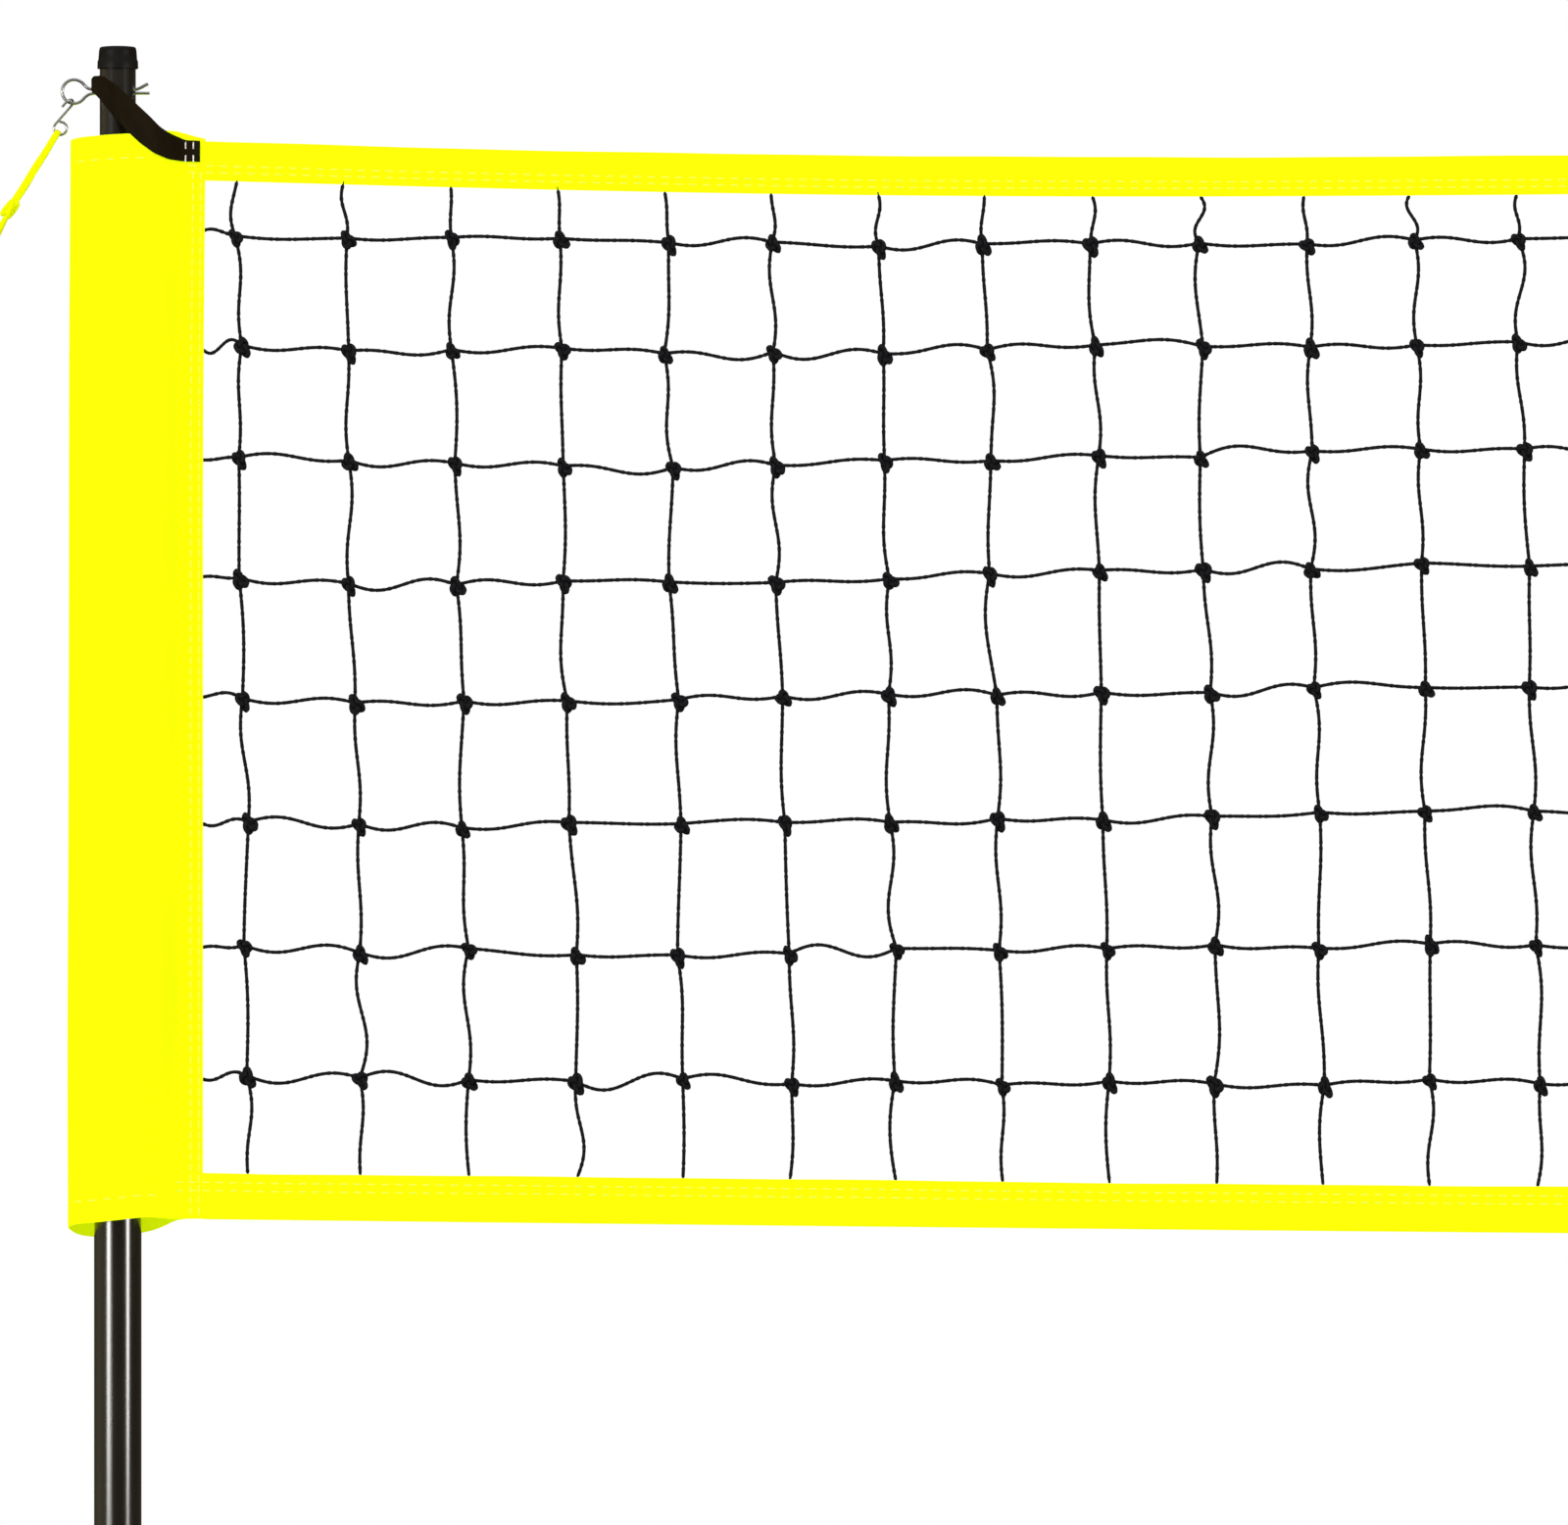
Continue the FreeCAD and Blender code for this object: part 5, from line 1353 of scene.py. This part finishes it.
def build_tensioners():
    """Yellow tensioner plates, each with its peg hole, cord holes and claw."""
    lobe, nose, reach, claw, bite, cord_hole = 0.013, 0.008, PLATE_REACH, 0.034, 0.012, 0.00275
    bite_at = np.array((claw * 0.12, -lobe - 0.024 * 0.34))
    rise = math.asin((lobe - nose) / reach)
    outline = np.vstack((
        circle((reach, 0), nose, -math.pi / 2, math.pi / 2 - rise, 16),
        circle((0, 0), lobe, math.pi / 2 - rise, math.radians(252), 36),
        circle(bite_at, bite, math.radians(132.5), math.radians(-62), 30)[1:],
        [(claw * 0.30, -claw * 0.97), (claw * 0.65, -claw), (reach * 0.86, -nose)],
    ))
    holes = [circle(place, radius)[::-1] for place, radius in (
        ((0, 0), PLATE_HOLE), ((reach, 0), cord_hole), ((reach * 0.42, lobe * 0.35), cord_hole))]
    skin = filled_plate(outline, holes, bpy.context.scene.net_hardware.plate, 0.0009)
    hole, pull, side, face = plate_frame()
    skin.points = [hole + raw[:, :1] * pull + raw[:, 1:2] * side + raw[:, 2:] * face for raw in skin.points]
    for pole, way, one in four_corners(skin):
        made = one.object("%s_%s_plate" % (pole, way), weld=True, crease=35)
        finish(made, "yellow_plastic", "lower_poles", ["%s_%s_tensioner" % (pole, way)])


def build_pegs():
    """Steel pegs, each one bar bent into an eye, with a flattened point."""
    h = bpy.context.scene.net_hardware
    eye, outward, upward = peg_frame()
    radius, bend, taper, point_rings = PEG_EYE, 0.012, 0.012, 7
    bend_z = -math.sqrt((radius + bend) ** 2 - bend ** 2)
    meet = math.atan2(bend_z, bend)
    low = -(h.peg_length - radius - h.peg_wire / 2)
    heights = (*np.linspace(low, low + taper, point_rings), *np.linspace(low + 0.02, bend_z - 0.006, 16))
    shaft = [(0, z) for z in heights]
    ring = [(radius * math.cos(a), radius * math.sin(a)) for a in np.linspace(meet, math.radians(228), 40)]
    flat_path = softened(np.array([*shaft, (0, bend_z), *ring]), [0.0] * len(shaft) + [0.006] + [0.0] * len(ring), 6)
    keep = np.concatenate(([True], np.linalg.norm(np.diff(flat_path, axis=0), axis=1) > 1e-7))
    flat_path = flat_path[keep]
    level = np.cross(UP, outward)
    path = eye + flat_path[:, :1] * level + flat_path[:, 1:] * upward
    depth = flat_path[:, 1] - low
    point = np.clip(depth / taper, 0.12, 1)
    flattened = (np.arange(len(path)) < point_rings)[:, None]
    scale = np.where(flattened, np.stack((point, 0.5 + point / 2), 1), 1.0)
    skin = tube(Skin(), path, round_section(h.peg_wire / 2, 18), carried=True, first=np.cross(level, upward),
                scale=scale)
    pegs = Skin()
    for _, _, one in four_corners(skin):
        groups = [group for sized in one.faces.values() for group in sized]
        pegs.add(one.points[0], *groups, flat=one.flat[0])
    finish(pegs.object("pegs", crease=35), "zinc", "lower_poles", ["ground_pegs"])


class NET_OT_stage(bpy.types.Operator):
    """Builds the camera, the lights and the floor"""

    bl_idname = "net.stage"
    bl_label = "Camera, lights and floor"

    def execute(self, context):
        build_stage()
        return {"FINISHED"}


class NET_OT_guy_lines(bpy.types.Operator):
    """Builds the four guy lines"""

    bl_idname = "net.guy_lines"
    bl_label = "Guy lines"

    def execute(self, context):
        build_guy_lines()
        return {"FINISHED"}


class NET_OT_poles(bpy.types.Operator):
    """Builds the tubes of both poles with their feet and caps"""

    bl_idname = "net.poles"
    bl_label = "Poles"

    def execute(self, context):
        build_poles()
        return {"FINISHED"}


class NET_OT_clamps(bpy.types.Operator):
    """Builds the clamp collars and finishes their collets"""

    bl_idname = "net.clamps"
    bl_label = "Clamps"

    def execute(self, context):
        build_clamps()
        return {"FINISHED"}


class NET_OT_buttons(bpy.types.Operator):
    """Builds the snap buttons and their leaf springs"""

    bl_idname = "net.buttons"
    bl_label = "Snap buttons"

    def execute(self, context):
        build_buttons()
        return {"FINISHED"}


class NET_OT_sleeves(bpy.types.Operator):
    """Builds the cloth sleeves with their stitches"""

    bl_idname = "net.sleeves"
    bl_label = "Sleeves"

    def execute(self, context):
        build_sleeves()
        return {"FINISHED"}


class NET_OT_tapes(bpy.types.Operator):
    """Builds the top and bottom tapes of the net"""

    bl_idname = "net.tapes"
    bl_label = "Tapes"

    def execute(self, context):
        build_tapes()
        return {"FINISHED"}


class NET_OT_netting(bpy.types.Operator):
    """Builds the knotted twines"""

    bl_idname = "net.netting"
    bl_label = "Netting"

    def execute(self, context):
        build_netting()
        return {"FINISHED"}


class NET_OT_straps(bpy.types.Operator):
    """Builds the webbing straps under the caps"""

    bl_idname = "net.straps"
    bl_label = "Straps"

    def execute(self, context):
        build_straps()
        return {"FINISHED"}


class NET_OT_pins(bpy.types.Operator):
    """Builds the eye pins through the poles"""

    bl_idname = "net.pins"
    bl_label = "Eye pins"

    def execute(self, context):
        build_pins()
        return {"FINISHED"}


class NET_OT_hooks(bpy.types.Operator):
    """Builds the wire hooks in the pins' eyes"""

    bl_idname = "net.hooks"
    bl_label = "Guy hooks"

    def execute(self, context):
        build_hooks()
        return {"FINISHED"}


class NET_OT_guy_loops(bpy.types.Operator):
    """Builds the flat loops and the knots of the guy lines"""

    bl_idname = "net.guy_loops"
    bl_label = "Guy loops"

    def execute(self, context):
        build_guy_loops()
        return {"FINISHED"}


class NET_OT_tensioners(bpy.types.Operator):
    """Builds the four tensioner plates"""

    bl_idname = "net.tensioners"
    bl_label = "Tensioners"

    def execute(self, context):
        build_tensioners()
        return {"FINISHED"}


class NET_OT_pegs(bpy.types.Operator):
    """Builds the four ground pegs"""

    bl_idname = "net.pegs"
    bl_label = "Pegs"

    def execute(self, context):
        build_pegs()
        return {"FINISHED"}


OPERATORS = (
    NET_OT_stage, NET_OT_guy_lines, NET_OT_poles, NET_OT_clamps, NET_OT_buttons, NET_OT_sleeves, NET_OT_tapes,
    NET_OT_netting, NET_OT_straps, NET_OT_pins, NET_OT_hooks, NET_OT_guy_loops, NET_OT_tensioners, NET_OT_pegs,
)


class NET_PT_panel(bpy.types.Panel):
    """Sizes, colours and pieces of the net"""

    bl_label = "Volleyball net"
    bl_idname = "NET_PT_panel"
    bl_space_type = "VIEW_3D"
    bl_region_type = "UI"
    bl_category = "Net"

    def draw(self, context):
        for operator in OPERATORS:
            self.layout.operator(operator.bl_idname)
        for name in GROUPS:
            box = self.layout.box()
            group = getattr(context.scene, name)
            for prop in group.bl_rna.properties:
                if prop.identifier not in ("rna_type", "name"):
                    box.prop(group, prop.identifier)


GROUPS = {
    "net_poles": PoleSizes, "net_cloth": ClothSizes, "net_netting": NettingSizes, "net_hardware": HardwareSizes,
    "net_finishes": Finishes, "net_stage": StageSettings,
}
CLASSES = (*GROUPS.values(), *OPERATORS, NET_PT_panel)


def register():
    for cls in CLASSES:
        bpy.utils.register_class(cls)
    for name, group in GROUPS.items():
        setattr(bpy.types.Scene, name, PointerProperty(type=group))


def unregister():
    for name in GROUPS:
        delattr(bpy.types.Scene, name)
    for cls in reversed(CLASSES):
        bpy.utils.unregister_class(cls)


def main():
    register()
    make_materials()
    for operator in OPERATORS:
        getattr(bpy.ops.net, operator.bl_idname.split(".")[1])()


if __name__ == "__main__":
    main()
